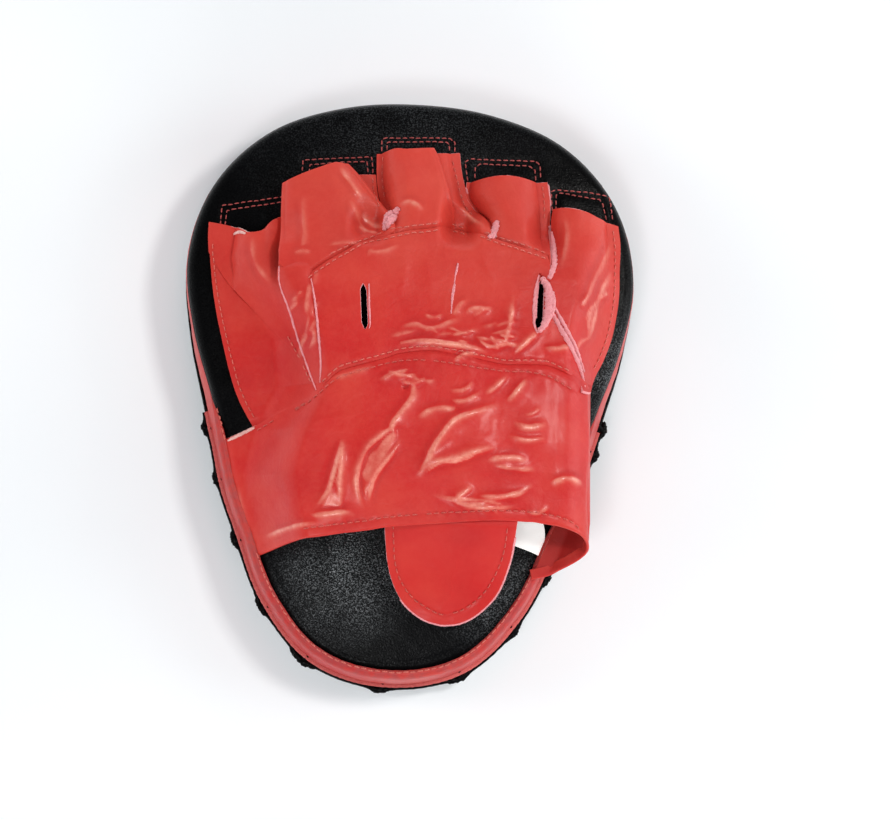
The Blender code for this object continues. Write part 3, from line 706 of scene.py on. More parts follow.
def leather(name, grid, thick, mats, fray=0.12, crest=None, slits=(), slit_mat=2,
            open_edge=None, rim_of=None):
    """Solid leather from a grid of outside points: outside, inside and a rounded raw rim.

    mats: outside, inside, rim.  slits: (column, first row, last row, half width).
    open_edge(start, end) leaves the rim off and rim_of(point) picks its material."""
    rows, cols = grid.shape[:2]
    top = grid.reshape(-1, 3).copy()
    normal = grid_normals(grid).reshape(-1, 3)
    index = np.arange(rows * cols).reshape(rows, cols)
    right = index.copy()  # the vertex a cell on the right of a column uses
    slit_points, lips, lip_normals = set(), [], []
    for col, first, last, half in slits:
        for r in range(first + 1, last):
            share = (r - first) / (last - first)
            gap = half * min(1, 2.2 * math.sin(math.pi * share)) ** 0.7
            right[r, col] = rows * cols + len(lips)
            lips.append(top[index[r, col]] + np.array([gap, 0, 0]))
            lip_normals.append(normal[index[r, col]])
            top[index[r, col], 0] -= gap
            slit_points |= {int(right[r, col]), int(index[r, col])}
            for c in range(1, 9):
                for way in (-1, 1):
                    if 0 <= col + way * c < cols:
                        push = gap * (1 - c / 9) ** 1.5
                        top[index[r, col + way * c], 0] += way * push
    if lips:
        top = np.vstack([top, lips])
        normal = np.vstack([normal, lip_normals])
    count = len(top)
    low = top - normal * thick
    corners = right[:-1, :-1], right[1:, :-1], index[1:, 1:], index[:-1, 1:]
    quads = np.stack(corners, -1).reshape(-1, 4)
    start = top[quads[:, 0]]
    facing = np.cross(top[quads[:, 1]] - start, top[quads[:, 2]] - start)
    if (facing * normal[quads[:, 0]]).sum() < 0:
        quads = quads[:, ::-1]
    faces = quads.tolist() + (quads[:, ::-1] + count).tolist()
    face_mats = [0] * len(quads) + [1] * len(quads)
    # Rim: boundary edges of the outside, with one loop standing out in the middle.
    edges = {}
    for quad in quads.tolist():
        for i in range(4):
            edge = (quad[i], quad[(i + 1) % 4])
            if edge[::-1] in edges:
                del edges[edge[::-1]]
            else:
                edges[edge] = True
    if open_edge is not None:
        edges = [edge for edge in edges if not open_edge(top[edge[0]], top[edge[1]])]
    around = {}
    for start, end in edges:
        around.setdefault(start, []).append(top[end] - top[start])
        around.setdefault(end, []).append(top[end] - top[start])
    middle, middles = {}, []
    for point, ways in around.items():
        along = np.sum(ways, 0)
        along /= max(1e-9, np.linalg.norm(along))
        outward = np.cross(along, normal[point])
        size = np.linalg.norm(outward)
        outward = outward / size if size > 1e-6 else outward
        middle[point] = 2 * count + len(middles)
        stand = 0.28 * thick * 0.5 + fray * rng.random()
        middles.append((top[point] + low[point]) / 2 + outward * stand)
    for start, end in edges:
        faces.append([end, start, middle[start], middle[end]])
        faces.append([middle[end], middle[start], start + count, end + count])
        in_slit = start in slit_points or end in slit_points
        kind = slit_mat if in_slit else (rim_of(top[start]) if rim_of else 2)
        face_mats += [kind, kind]
    verts = np.vstack([top, low, np.array(middles)])
    obj = new_object(name, verts, faces, mats, face_mats, sharp=50)
    # The crest attribute carries the painted highlight and painted shade of the folds.
    if crest is not None:
        values = np.zeros(len(obj.data.vertices), np.float32)
        values[: crest.size] = crest.ravel()
        attribute = obj.data.attributes.new("crest", "FLOAT", "POINT")
        attribute.data.foreach_set("value", values)
    return obj


class Caster:
    """Finds the outside of finished pieces straight below a plan point."""

    def __init__(self, *objs):
        verts, polys = [], []
        for obj in objs:
            base = len(verts)
            verts += [vert.co.copy() for vert in obj.data.vertices]
            polys += [[base + i for i in poly.vertices] for poly in obj.data.polygons]
        self.tree = BVHTree.FromPolygons(verts, polys)

    def top(self, x, y):
        """The point met and its normal, or None."""
        start = Vector((x * 0.001, (y + PLAN_ORIGIN_Y) * 0.001, 0.12))
        hit, normal, _, _ = self.tree.ray_cast(start, Vector((0, 0, -1)))
        if hit is None:
            return None
        if normal.z < 0:
            normal = -normal
        return np.array([x, y, hit.z * 1000]), np.array(normal)


DASH = ((0, -0.30), (0.18, 0.08), (0.5, 0.20), (0.82, 0.08), (1, -0.30))  # share, height
UNDER_DASH = ((0, -0.25), (0.2, 0.08), (0.5, 0.2), (0.8, 0.08), (1, -0.25))
DASH_RADII = np.array([0.5, 0.95, 1, 0.95, 0.5])  # shares of the thread's radius


class Cords:
    """Round or flattened cords gathered into one mesh."""

    def __init__(self):
        self.verts, self.faces, self.count = [], [], 0

    def add(self, line, radius, sides=8, flat=1, seed=0, rough=0):
        line = np.asarray(line, float)
        along = np.gradient(line, axis=0)
        along /= np.maximum(1e-9, np.linalg.norm(along, axis=1, keepdims=True))
        side = np.cross(along, np.array([0, 0, 1.0]))
        side /= np.maximum(1e-9, np.linalg.norm(side, axis=1, keepdims=True))
        normal = np.cross(side, along)
        radius = np.broadcast_to(np.asarray(radius, float), (len(line),))
        turn = np.linspace(0, 2 * math.pi, sides, endpoint=False)
        local = random.Random(seed)
        uneven = np.array([[1 + rough * (local.random() - 0.5) for _ in turn] for _ in line])
        around = (
            side[:, None] * np.cos(turn)[None, :, None]
            + normal[:, None] * np.sin(turn)[None, :, None] * flat
        )
        verts = line[:, None] + around * (radius[:, None] * uneven)[..., None]
        for i in range(len(line) - 1):
            here = self.count + i * sides
            there = here + sides
            for j in range(sides):
                k = (j + 1) % sides
                self.faces.append([here + j, here + k, there + k, there + j])
        last = self.count + (len(line) - 1) * sides
        self.faces.append([self.count + j for j in range(sides)][::-1])
        self.faces.append([last + j for j in range(sides)])
        self.verts.append(verts.reshape(-1, 3))
        self.count += len(line) * sides

    def stitch(self, line, caster, pitch=3.1, size=2.25, radius=0.27, lift=0.12, skip=0):
        """A row of thread dashes lying on the leather."""
        line = as_points(line)
        lengths = arc(line)
        start = 0.4
        while start + size < lengths[-1]:
            dash = []
            wobble = (rng.random() - 0.5) * 0.25
            for share, height in DASH:
                x, y = (np.interp(start + share * size, lengths, line[:, k]) for k in (0, 1))
                hit = caster.top(x + wobble * 0.4, y + wobble)
                if hit is not None:
                    dash.append(hit[0] + hit[1] * (height + lift))
            if len(dash) == 5 and rng.random() >= skip:
                heights = [point[2] for point in dash]
                if max(heights) - min(heights) < 2.2:
                    self.add(dash, DASH_RADII * radius, 6)
            start += pitch * (0.97 + 0.06 * rng.random())

    def stitch_under(self, line, z_of, pitch=3.4, size=2.4, radius=0.28):
        """A row of dashes on the underside of a sheet."""
        lengths = arc(line)
        start = 0
        while start + size < lengths[-1]:
            dash = []
            for share, height in UNDER_DASH:
                x, y = (np.interp(start + share * size, lengths, line[:, k]) for k in (0, 1))
                dash.append((x, y, z_of(x, y) - height - 0.08))
            self.add(dash, DASH_RADII * radius, 6)
            start += pitch

    def raw_run(self, radius, seed, lift, line, caster):
        """A fibrous strip of bare leather laid on the pieces below it."""
        hits = [caster.top(x, y) for x, y in curve(line, 10 * len(line))]
        run = [hit[0] + hit[1] * lift for hit in hits if hit is not None]
        if len(run) < 4:
            return
        share = np.linspace(0, 1, len(run))
        thin = 0.35 + 0.65 * np.sin(math.pi * np.clip(share, 0.03, 0.97)) ** 0.5
        self.add(run, radius * thin, 7, seed=int(seed), rough=0.55)

    def build(self, name, material, sharp=None):
        return new_object(name, np.vstack(self.verts), self.faces, [material], sharp=sharp)


def full_turn(count):
    return np.linspace(0, 2 * math.pi, count, endpoint=False)


def ring_quads(rings, count, first=0):
    """Quads between closed rings of count points."""
    quads = []
    for ring in range(rings - 1):
        inner = first + ring * count
        outer = inner + count
        for i in range(count):
            j = (i + 1) % count
            quads.append([inner + i, outer + i, outer + j, inner + j])
    return quads


def disc_mesh(rings, centre_z):
    """Rings closed by a fan round a middle point."""
    count = len(rings[0])
    fan = [[0, 1 + i, 1 + (i + 1) % count] for i in range(count)]
    verts = np.concatenate([np.array([[0, 0, centre_z]])] + rings)
    return verts, fan + ring_quads(len(rings), count, first=1)


def end_caps(rings, count):
    last = (rings - 1) * count
    return [list(range(count)), [last + i for i in range(count)][::-1]]


def ring_piece(name, profile, mats, count, mat_of=lambda corner: 0, span=None, ripple=None):
    """Sweep of a closed section along the outline.

    profile(angles) lists (out, z) corners.  span is the first and last angle in degrees,
    or None for a full turn.  A mat_of of None leaves every face on the first material."""
    if span is None:
        angles = full_turn(count)
    else:
        angles = np.linspace(math.radians(span[0]), math.radians(span[1]), count)
    columns = []
    for k, (out, z) in enumerate(profile(angles)):
        out = out + np.zeros_like(angles)
        z = z + np.zeros_like(angles)
        if ripple is not None:
            out, z = ripple(k, angles, out, z)
        columns.append(np.stack([*ring_at(angles, out), z], 1))
    grid = np.stack(columns, 1)
    corners = grid.shape[1]
    faces, face_mats = [], []
    for i in range(count if span is None else count - 1):
        here, there = i * corners, (i + 1) % count * corners
        for k in range(corners):
            k2 = (k + 1) % corners
            faces.append([here + k, there + k, there + k2, here + k2])
            face_mats.append(mat_of(k) if mat_of else 0)
    if span is not None:
        faces += end_caps(count, corners)
        face_mats += [face_mats[0]] * 2
    verts = grid.reshape(-1, 3)
    return new_object(name, verts, faces, mats, face_mats if mat_of else None, sharp=45)


# ------------------------------------------------------------------ pad
# Stitched channels beyond the fingertips, an outer and an inner line for each finger.
CHANNELS = (
    "-85.3 69.8, -84.9 79.2, -55.2 84.9",
    "-83.1 69.9, -82.6 77.1, -55 82.7",
    "-50.4 93, -50.3 101.3, -42.8 102.2, -19.9 104.3, -19.1 98.5, -19 88",
    "-47.4 95, -47.1 99.3, -33.9 101.3, -22 102, -21.3 97.5, -21.3 89.4",
    "-15.6 106.8, -15.9 112.3, -14.1 113.3, 14.2 114.8, 16.5 113.2, 16.8 107",
    "-13.4 107.4, -13.6 111, -12.3 111.6, 12.6 112.9, 13.9 112.1, 14.6 107",
    "23.1 95.4, 21.4 104.4, 23.6 105.8, 52.9 106.5, 54.7 104.9, 55.4 98",
    "26.2 96.9, 26 101.9, 28.1 103.8, 50.3 104.2, 52.6 102.5, 53.2 97.9",
    "61 84, 60.2 93.1, 61.9 94.1, 77.5 94, 86.4 92.7, 88.2 81.9",
    "62.8 84.1, 62.5 91.8, 64.2 92.8, 82 91.1, 83.5 89.4, 85.5 81.8",
)
# Rim of the back panel past its outline: out, rise.  A rise above 0 lies inside the dome.
PANEL_RIM = (
    (0.15, -0.8), (0.2, -2), (0.1, -3.2), (-1.2, -3.3), (-1.6, -2), (-3.4, -0.6), (-8, 0.4),
)


def panel_height(x, y):
    inset = inset_of(x, y)
    z = back_z(x, y)
    z = z + 0.55 * clouds(x, y, 46, 3, 3) * smooth(inset / 10)
    z = z + 0.12 * ridges(x, y, 26, 9)
    uneven = 0.8 + 0.4 * noise(np.arctan2(x, y) * 70, 0, 21)
    z = z - 0.25 * bell(inset - 5.2, 1.1) * smooth((10 - y) / 25) * uneven
    flat = z.ravel().copy()
    for line in CHANNELS:
        idx, gap, share, _ = near_line(x, y, straight(line), 4)
        flat[idx] -= 0.55 * bell(gap, 1) * (0.8 + 0.4 * noise(share * 40, 0, 22))
    return flat.reshape(x.shape)


def make_panel():
    angles = full_turn(420)
    rings = []
    for share in np.concatenate([np.linspace(0.012, 0.86, 62), np.linspace(0.87, 0.999, 26)]):
        radius = back_radius(angles) * share
        x, y = radius * np.sin(angles), radius * np.cos(angles)
        rings.append(np.stack([x, y, panel_height(x, y)], 1))
    edge_z = rings[-1][:, 2]
    for out, rise in PANEL_RIM:
        x, y = ring_at(angles, out)
        z = panel_height(x, y) - 1.4 if rise > 0 else edge_z + rise
        rings.append(np.stack([x, y, np.maximum(z, 34.95)], 1))
    verts, faces = disc_mesh(rings, rings[0][:, 2].mean())
    faces = [face[::-1] for face in faces]
    return new_object("pad_back_panel", verts, faces, [BLACK], sharp=60)


panel = place(make_panel(), "back_panel")

# Outer side of the wall: share of the height, bulge.
WALL_BULGE = (
    (0, 0), (0.04, 0.45), (0.12, 0.7), (0.25, 1), (0.4, 1.1), (0.55, 1.05), (0.7, 0.85),
    (0.84, 0.55), (0.94, 0.25), (1, 0),
)


def wall_strip(name, extra, span, count, seed):
    """A strip of the side wall, moved out by extra."""

    def profile(angles):
        foot = flare(angles) - 1.9
        corners = [
            (mix(foot, 0.15, share) + bulge + extra, mix(WALL_LOW, WALL_HIGH, share))
            for share, bulge in WALL_BULGE
        ]
        for share in (1, 0.75, 0.5, 0.25, 0):
            out = mix(foot, 0.15, share) - 1.3 + extra + 0.8 * math.sin(math.pi * share)
            corners.append((out, mix(WALL_LOW, WALL_HIGH, share)))
        return corners

    def ripple(k, angles, out, z):
        if k < 10:
            along = angles * 95
            wide = 0.5 * noise(along / 17, k * 0.35 + seed, seed)
            narrow = 0.28 * noise(along / 5, k * 0.5 + seed, seed + 3)
            out = out + math.sin(math.pi * k / 9) * (wide + narrow)
        return out, z

    mats = [RED_WALL, RED_SHADED_INNER, RAW]
    return ring_piece(name, profile, mats, count, lambda k: 0 if k < 9 else 1, span, ripple)


place(wall_strip("wall_upper_strip", 0, (-95, 95), 360, 2), "side_wall_upper")
place(wall_strip("wall_lower_strip", 0.12, (94.2, 265.8), 340, 5), "side_wall_lower")

# Raw lower edge of the side wall where it is caught in the rim seam: a thin pale line.
RAW_LINE = ((1, 0), (0.7, 0.7), (0, 1), (-0.7, 0.7), (-1, 0), (0, -0.4))  # across, up
place(ring_piece(
    "wall_raw_edge",
    lambda angles: [
        (flare(angles) - 2.2 + across * 1.5 + 0.9, 12.95 + up * 0.55) for across, up in RAW_LINE
    ],
    [RAW_DULL], 420, span=(96, 264),
    ripple=lambda k, angles, out, z: (
        out + 0.25 * noise(angles * 90, k, 31), z + 0.2 * noise(angles * 110, k + 5, 32)
    ),
))

# Roll at the rim of the strike face: out from the flared outline, z.
FACE_ROLL = (
    (-30, 1.9), (-20, 1.75), (-12, 1.6), (-7, 1.9), (-4.2, 2.6), (-2.2, 4.2), (-0.8, 6.6),
    (-0.1, 9.2), (0.1, 11.2), (-0.15, 12.3), (-0.9, 12.55), (-1.6, 12.2), (-1.8, 10.2),
    (-2.4, 7.2), (-4.2, 4.8), (-7, 3.5), (-12, 3.2), (-30, 3.25),
)
face_rim = ring_piece(
    "strike_face_rim_roll", lambda angles: [(flare(angles) + out, z) for out, z in FACE_ROLL],
    [BLACK_FACE], 360,
    ripple=lambda k, angles, out, z: (
        out + (0.15 * noise(angles * 30, k * 0.3, 41) if 3 < k < 10 else 0), z
    ),
)


def face_height(x, y):
    """Height of the strike face leather, drawn in at two quilted rings."""
    z = 1.62 + 0.10 * clouds(x, y, 30, 51, 2)
    z = z + 0.30 * bell(np.hypot(x, y) - QUILT_RADIUS, 1.1)
    return z + 0.34 * bell(inset_of(x, y) - QUILT_INSET, 1.2)


def make_face():
    angles = full_turn(300)
    edge_x, edge_y = ring_at(angles, flare(angles) - 29.5)
    rings = []
    for k in range(60):
        x, y = edge_x * ((k + 0.5) / 60), edge_y * ((k + 0.5) / 60)
        rings.append(np.stack([x, y, face_height(x, y)], 1))
    rings.append(np.stack([edge_x, edge_y, np.full(300, 2.2)], 1))
    verts, faces = disc_mesh(rings, 1.62)
    return new_object("strike_face_leather", verts, faces, [BLACK_FACE], sharp=60)


face = make_face()
for part in (face_rim, face):
    place(part, "strike_face")

# Section of the target patch: share of the radius, z.
TARGET_SECTION = (
    (0.02, 0.18), (0.2, 0.16), (0.4, 0.12), (0.6, 0.1), (0.8, 0.08), (0.9, 0.12),
    (0.935, 0.34), (0.945, 0.36), (0.955, 0.33), (0.975, 0.1), (0.99, 0.12), (0.998, 0.35),
    (1, 0.7), (0.995, 1.1), (0.97, 1.25), (0.5, 1.25), (0.02, 1.25),
)


def make_target():
    count = 180
    angles = full_turn(count)
    rings = []
    for share, z in TARGET_SECTION:
        x, y = (TARGET_RADIUS * share * wave(angles) for wave in (np.sin, np.cos))
        uneven = 0.05 * noise(x / 9, y / 9, 61) * (0.1 < share < 0.9)
        rings.append(np.stack([x, y, z + uneven], 1))
    faces = [quad[1:] + quad[:1] for quad in ring_quads(len(rings), count)]
    faces += end_caps(len(rings), count)
    return new_object("target_patch_disc", np.concatenate(rings), faces, [RED_FLAT], sharp=50)


place(make_target(), "target_patch")

# Binding section, out and z: over the top from the inner lip across two ridges and down
# outside, then back underneath.
BINDING = as_points("""
    -1.7 39.3, -1.85 40, -1.5 40.45, -0.95 40.6, -0.45 40.45, -0.1 40.1, 0.15 39.8, 0.5 39.65,
    0.95 39.5, 1.5 39, 2 38.1, 2.3 37, 2.3 36, 2.1 35.2,
    1.3 35, 0.9 36, 0.5 37.2, -0.2 38.2, -0.9 38.8""")


def binding_profile(angles):
    """The section shrinks to nothing at both ends."""
    full = smooth(np.minimum(angles - angles[0], angles[-1] - angles) / 0.30)
    return [(mix(0.4, out, full), mix(35.6, z, full)) for out, z in BINDING]


binding = place(ring_piece(
    "edge_binding_piping", binding_profile, [RED_BINDING, RAW_DULL, RED_SHADED_INNER], 440,
    lambda k: 1 if k in (12, 13) else (0 if k < 12 else 2), (91, 269),
    lambda k, angles, out, z: (
        out + 0.22 * noise(angles * 24, k * 0.2, 71),
        z + (0.28 * noise(angles * 40, k * 0.3, 72) if k < 13 else 0),
    ),
), "edge_binding")

# Foam layers inside.
EVA = foam_material("front_foam_eva", (0.045, 0.045, 0.05), (0.02, 0.02, 0.022), 900)
FOAM = foam_material("soft_foam_pu", (0.78, 0.72, 0.55), (0.55, 0.48, 0.32), 700)


def foam_centre(angles):
    return -back_radius(angles) * 0.985


def foam_piece(name, node, profile, material, seed):
    place(ring_piece(
        name, profile, [material], 160, mat_of=None,
        ripple=lambda k, angles, out, z: (out + 0.25 * noise(angles * 60, k, seed), z),
    ), node)


def slab(low, high, low_out, high_out):
    """A flat sheet between two heights; low_out and high_out give its edge by flare."""

    def profile(angles):
        flared, centre = flare(angles), foam_centre(angles)
        return [
            (centre, low), (-40, low), (low_out(flared), low), (low_out(flared) + 0.6, low + 1),
            (high_out(flared) + 0.3, high - 1), (high_out(flared), high), (-40, high),
            (centre, high),
        ]

    return profile


def back_foam(angles):
    corners = [
        (foam_centre(angles), 27.3), (-40, 27.3), (flare(angles) * 0.4 - 3.6, 27.3),
        (-3.4, 33.6), (-6.4, 36.2),
    ]
    for inset in (16, 34, 56):
        corners.append((-inset, back_z(*ring_at(angles, -inset)) - 3))
    return corners + [(foam_centre(angles), 43.2)]


foam_piece("front_foam_sheet", "front_foam",
           slab(3.5, 15, lambda out: out - 9.2, lambda out: out - 4.6), EVA, 81)
foam_piece("middle_foam_sheet", "middle_foam",
           slab(15.3, 27, lambda out: out - 5, lambda out: out * 0.45 - 3.4), FOAM, 82)
foam_piece("back_foam_cushion", "back_foam", back_foam, FOAM, 83)

# Lace whipped through the rim: a running cord low in the seam and a loop at each hole.
LACE_HOLES = as_points("""
    -89 -17, -79 -40, -71 -70, -55 -97, -36 -116, -4 -129, 29 -121, 52 -104, 68 -81, 90 -21,
    92 -8""")


def make_lace():
    cords = Cords()
    holes = sorted(math.atan2(x, y) % (2 * math.pi) for x, y in LACE_HOLES)
    angles = np.linspace(math.radians(96), math.radians(264), 520)
    near = np.min(np.abs(angles[:, None] - np.array(holes)[None, :]), axis=1) * 95
    pull = bell(near, 3.6)
    out = flare(angles) + 0.35 + 1.1 * pull + 0.2 * noise(angles * 60, 0, 91)
    z = 12.2 - 1.6 * pull + 0.35 * noise(angles * 45, 3, 92)
    cords.add(np.stack([*ring_at(angles, out), z], 1), 0.85 + 0.25 * pull)
    for i, hole in enumerate(holes):
        local = random.Random(40 + i)
        size = 0.8 + 0.5 * local.random()
        # The pulled-up loop lies along the rim, thick in the middle.
        t = np.linspace(-1, 1, 21)
        arch = 1 - t**2
        angles = hole + t * 0.044 * size
        out = flare(angles) + 0.3 + (0.5 + 0.7 * size) * arch**0.8
        out = out + 0.55 * noise(t * 2.6 + 7 * i, 0, 97)
        z = 11.9 - 0.9 * arch + 0.3 * noise(t * 4 + i, 2, 98)
        uneven = 1 + 0.5 * noise(t * 2.2 + 5 * i, 4, 96)
        radius = 0.6 + (0.5 + 0.5 * size) * arch**0.7 * uneven
        loop = np.stack([*ring_at(angles, out), z], 1)
        cords.add(loop, radius, sides=10, flat=0.75, seed=i, rough=0.35)
        # And crosses over the edge into its two holes.
        share = np.linspace(0, 1, 15)
        over = np.sin(math.pi * (1.1 * share - 0.05))
        shake = np.array([local.random() - 0.5 for _ in share])
        angles = hole + shake * 0.002 + 0.02 * (share - 0.5)
        bulge = np.where(over > 0, 3.2 * np.maximum(over, 0) ** 0.8, -0.2)
        x, y = ring_at(angles, flare(angles) - 1.5 + bulge)
        crossing = np.stack([x, y, 13.4 - 7.5 * share + 0.5 * over], 1)
        radius = 0.8 + 0.3 * size * np.sin(np.linspace(0.3, 2.8, 15))
        cords.add(crossing, radius, sides=9, flat=0.6, seed=60 + i, rough=0.15)
    return cords.build("edge_lace_whipping", BLACK_LACE)


place(make_lace(), "edge_lace")

# Section of the oval cushion under the palm: share of the radius, share of the height.
GRIP_SECTION = (
    (0.02, 1), (0.2, 0.99), (0.4, 0.95), (0.55, 0.88), (0.68, 0.76), (0.78, 0.6), (0.86, 0.42),
    (0.905, 0.26), (0.93, 0.22), (0.955, 0.24), (0.98, 0.2), (1, 0.08), (0.99, 0), (0.5, 0),
)


def make_grip():
    count = 140
    angles = full_turn(count)
    rings = []
    for share, lift in GRIP_SECTION:
        x = 2 + 34 * share * np.cos(angles)
        y = -18 + 25 * share * np.sin(angles)
        z = back_z(x, y) + 0.4 + 4.1 * lift + 0.18 * noise(x / 7, y / 7, 95) * lift
        rings.append(np.stack([x, y, z], 1))
    faces = ring_quads(len(rings), count) + end_caps(len(rings), count)
    return new_object("palm_grip_cushion", np.concatenate(rings), faces, [BLACK], sharp=55)


place(make_grip(), "palm_grip_pad")

# ------------------------------------------------------------------ wrinkles, seams, rows
# Edges of the knuckle panel and the hem of the cuff.
KNUCKLE_TOP = as_points("""
    -46 46, -37.5 52.8, -29.2 58.5, -20.8 63.9, -12.3 66, -1.6 69, 7 70.3, 17.9 73.2,
    26.8 70.2, 37.6 66.8, 46.4 64.6, 58.8 61""")
KNUCKLE_LEFT = "-46 46, -41.6 35.7, -39.2 22.7, -37.2 9.8, -36.4 -2.4"
KNUCKLE_RIGHT = "58.8 61, 59.9 54.8, 59.5 45.8, 64.2 36.4, 69.9 24.5, 75.3 14.6, 77.8 4.6"
KNUCKLE_BOTTOM = as_points("""
    -36.4 -2.4, -30.1 4.3, -24.2 7.2, -9.5 11.9, -3.2 14.4, 9.6 16.4, 18.2 15.6, 31.2 13.7,
    42.5 12.2, 52.8 12.8, 61.5 12.6, 71.4 9, 77.8 4.6""")
HEM = as_points("""
    -59.4 -73.3, -50.4 -69.4, -41.6 -66.5, -33.1 -64.9, -24.7 -63.2, -14.1 -61.4, -5.7 -59.6,
    4.9 -58.2, 17.5 -56.7, 30.3 -55.2, 43 -54.2, 50.3 -54, 60.3 -54.3, 69.3 -55.7,
    75.9 -57.9, 80.8 -61.5""")

# Raised flats between folds: curve points, height, soft border, tint of painted highlight |
# outline.
FACETS = [
    (curve(line, int(count)), height, soft, tint)
    for (count, height, soft, tint), line in table("""
    40 0.35 1.6 0.75 | -25.4 -27, -25.6 -38, -23.6 -52.4, -29 -53.4, -34 -53.6, -30 -45,
        -27.4 -35, -25.6 -27.4;
    50 0.5 1.8 0.55 | -3.6 -17, -9.6 -23.4, -15 -29.8, -17.4 -37, -17 -44, -14.4 -50,
        -12.6 -44, -9.4 -36, -5.4 -29, -1.8 -22;
    44 0.3 1.3 0.95 | 8.6 -38.6, 13 -33, 19 -30.2, 27 -28.4, 35.6 -25, 31 -29.4, 25 -32,
        17 -33.6, 11.6 -36.4;
    44 0.2 0.9 0.95 | -3.6 17.6, 6 19.6, 18 19, 29 17, 29 18.6, 18 21.2, 6 21.6, -3.8 19.6""")
]

# Folds: height, width on the left, width on the right if it differs | line.
MAIN_FOLDS = """
    1.5 1.6 2.2 | -25.6 -22.6, -25.8 -33.3, -26 -41.9, -24.2 -52;
    1.3 1.8 2.4 | -25.6 -22.6, -27.6 -35, -30.6 -46, -35.6 -54.4;
    1.2 1.8 | -38.6 -57.9, -31.4 -56.3, -23 -55, -18.2 -56.9;
    2 1.5 2.4 | -2 -12.3, -5.2 -18, -10.3 -22.6, -15.6 -28.6, -18.4 -36, -18.4 -44.6,
        -14.9 -54.6;
    1.7 1.5 1.9 | -0.4 -21.3, -4.2 -28.4, -8.2 -34.2, -12 -42, -14.1 -52.7;
    1.1 2.4 | 3.3 4.7, 2.9 -3.6, -1.9 -11.2, -4.9 -18.3, -0.9 -22.3;
    2.1 2 2.8 | 42 -5.2, 32.2 -8.8, 21.8 -13.8, 14.9 -22.3, 11.1 -31.1, 5.6 -40.8;
    2.6 2 3 | 8 -37.2, 14.1 -32.2, 18.8 -30.7, 24.7 -29.5, 30.1 -27, 35.6 -24.6, 41.5 -23.4;
    1 2.4 | 35.4 -30.1, 47.3 -27.7, 54.7 -28.6;
    0.9 1.4 | 31.2 -40.6, 26.7 -44.3, 21.3 -47.6;
    0.9 1.5 | 31.9 -46.1, 39.6 -45.2, 48.3 -44.4, 56 -41;
    0.8 1.4 | 17.1 -47.8, 30 -49.2, 42.7 -47.6;
    1.4 2.8 | 63.4 -38.7, 70.6 -35.3, 78.9 -37.5;
    1 2.2 | 46.2 -12.8, 53.6 -14.9, 62.1 -12.2;
    0.9 2 | 6 -14.2, 13 -9.1, 23.6 -8;
    1.5 1.9 | -4 18.2, 5.2 20.3, 18.2 19.6, 31.2 17.6, 40.7 16.6;
    0.8 1.2 | 34.3 24.5, 37 20.9, 39.5 17;
    1.4 1.5 | 45 44.2, 43.6 30.3, 41.5 17.6;
    1.5 1.5 | 56 28.1, 50.6 21.6, 45.3 16.1;
    0.9 1.3 | -4.6 25.7, 2.6 27.4, 9.2 26, 17.6 29.1, 22.7 31.2;
    1 1.4 | 24.4 32.2, 26.8 35.4, 36.3 36;
    0.8 1.4 | 18.4 31, 21.6 36.9, 25.8 39.3;
    0.7 0.9 | -45.9 40.3, -51.2 34.4;
    0.7 0.9 | -47.3 35.5, -52.5 30.9;
    0.9 1.6 | -43 44, -44.5 36, -44 28;
    0.45 2.2 | -63.2 -33.9, -65.1 -49.6, -66.1 -67.8;
    0.5 1.6 | -71.6 -44.5, -68.4 -56.9, -65.5 -69.9;
    1.1 2 | -29.4 82.2, -24.3 74.4, -19.5 63.9;
    0.9 2.2 | -49.7 83.9, -47.2 66.1, -48.3 54.2;
    1 2 | 66.1 81.6, 67.6 71, 64.6 55.1;
    1.2 2.2 | 88.5 74.8, 83 59.8, 78 46.9, 74 31.7;
    0.8 1.6 | 83 49, 78.7 37, 78.6 23.7;
    0.55 2.4 | -5.5 104.5, -3.6 91.1, -4.7 79.9;
    0.9 1.4 | -6.9 79.8, -2.2 81.4, 4.5 78.2;
    1 2.5 | -70.9 65, -67.7 52.5, -60.1 42.8;
    0.45 3 | -4.9 66.1, -2.8 51, -4.3 37.6;
    0.5 3 | 28.9 64.3, 32 54.6, 38.4 46.7;
    0.4 3.4 | 5.3 60.4, 8.1 47.2, 11.1 38.5;
    0.45 2.4 | -44.1 -20.9, -31.5 -15.3, -18.8 -13.4;
    0.4 2.6 | -54.1 -38, -46.7 -50.9, -48.4 -63.5;
    0.5 1.5 | -32.4 1.1, -23.2 5, -13.6 8.2"""
LATER_FOLDS = """
    1.1 1.5 | 43 -4.6, 47.6 0.4, 52 6.6;
    0.8 1.3 | 34 -2, 39.6 2.6, 44.6 8;
    1 1.4 | 12 -45.6, 24 -47.2, 37 -46.4, 49 -43.2, 58.6 -38.4;
    0.8 1.1 | 22 -49.4, 36 -50.2, 50 -48.6;
    0.9 1.3 | -58 -66.8, -46 -62.6, -33 -59.4;
    0.75 1.3 | 38.2 -31.2, 48 -33, 58 -32.4;
    0.7 1.3 | 44 -19, 53 -20.4, 62 -18.6;
    1 1.6 | -33.6 97, -28 89, -22.6 81;
    1 1.3 | -24 76.6, -18 72.4, -12.6 71;
    0.8 1.1 | -26 72, -20 69, -14 68.4;
    1 1.4 | 20.4 84, 25.4 77.4, 31.2 72.6;
    1 1.4 | 88.6 60, 84.6 50, 80.6 36, 78.4 24"""
# Patches of scattered fine creases: centre x, y, spread x, y, turn in degrees, count.
CREASE_PATCHES = (
    (38, 27, 20, 9, 8, 13), (10, 24, 20, 5, 5, 6), (44, -50, 20, 3, 6, 4),
    (26, -4, 20, 5, 28, 3), (-44, 28, 3.5, 12, 70, 6), (78, 44, 6, 16, 62, 5),
    (0, 4, 26, 4, 8, 6), (-14, 60, 20, 4, 25, 4),
)


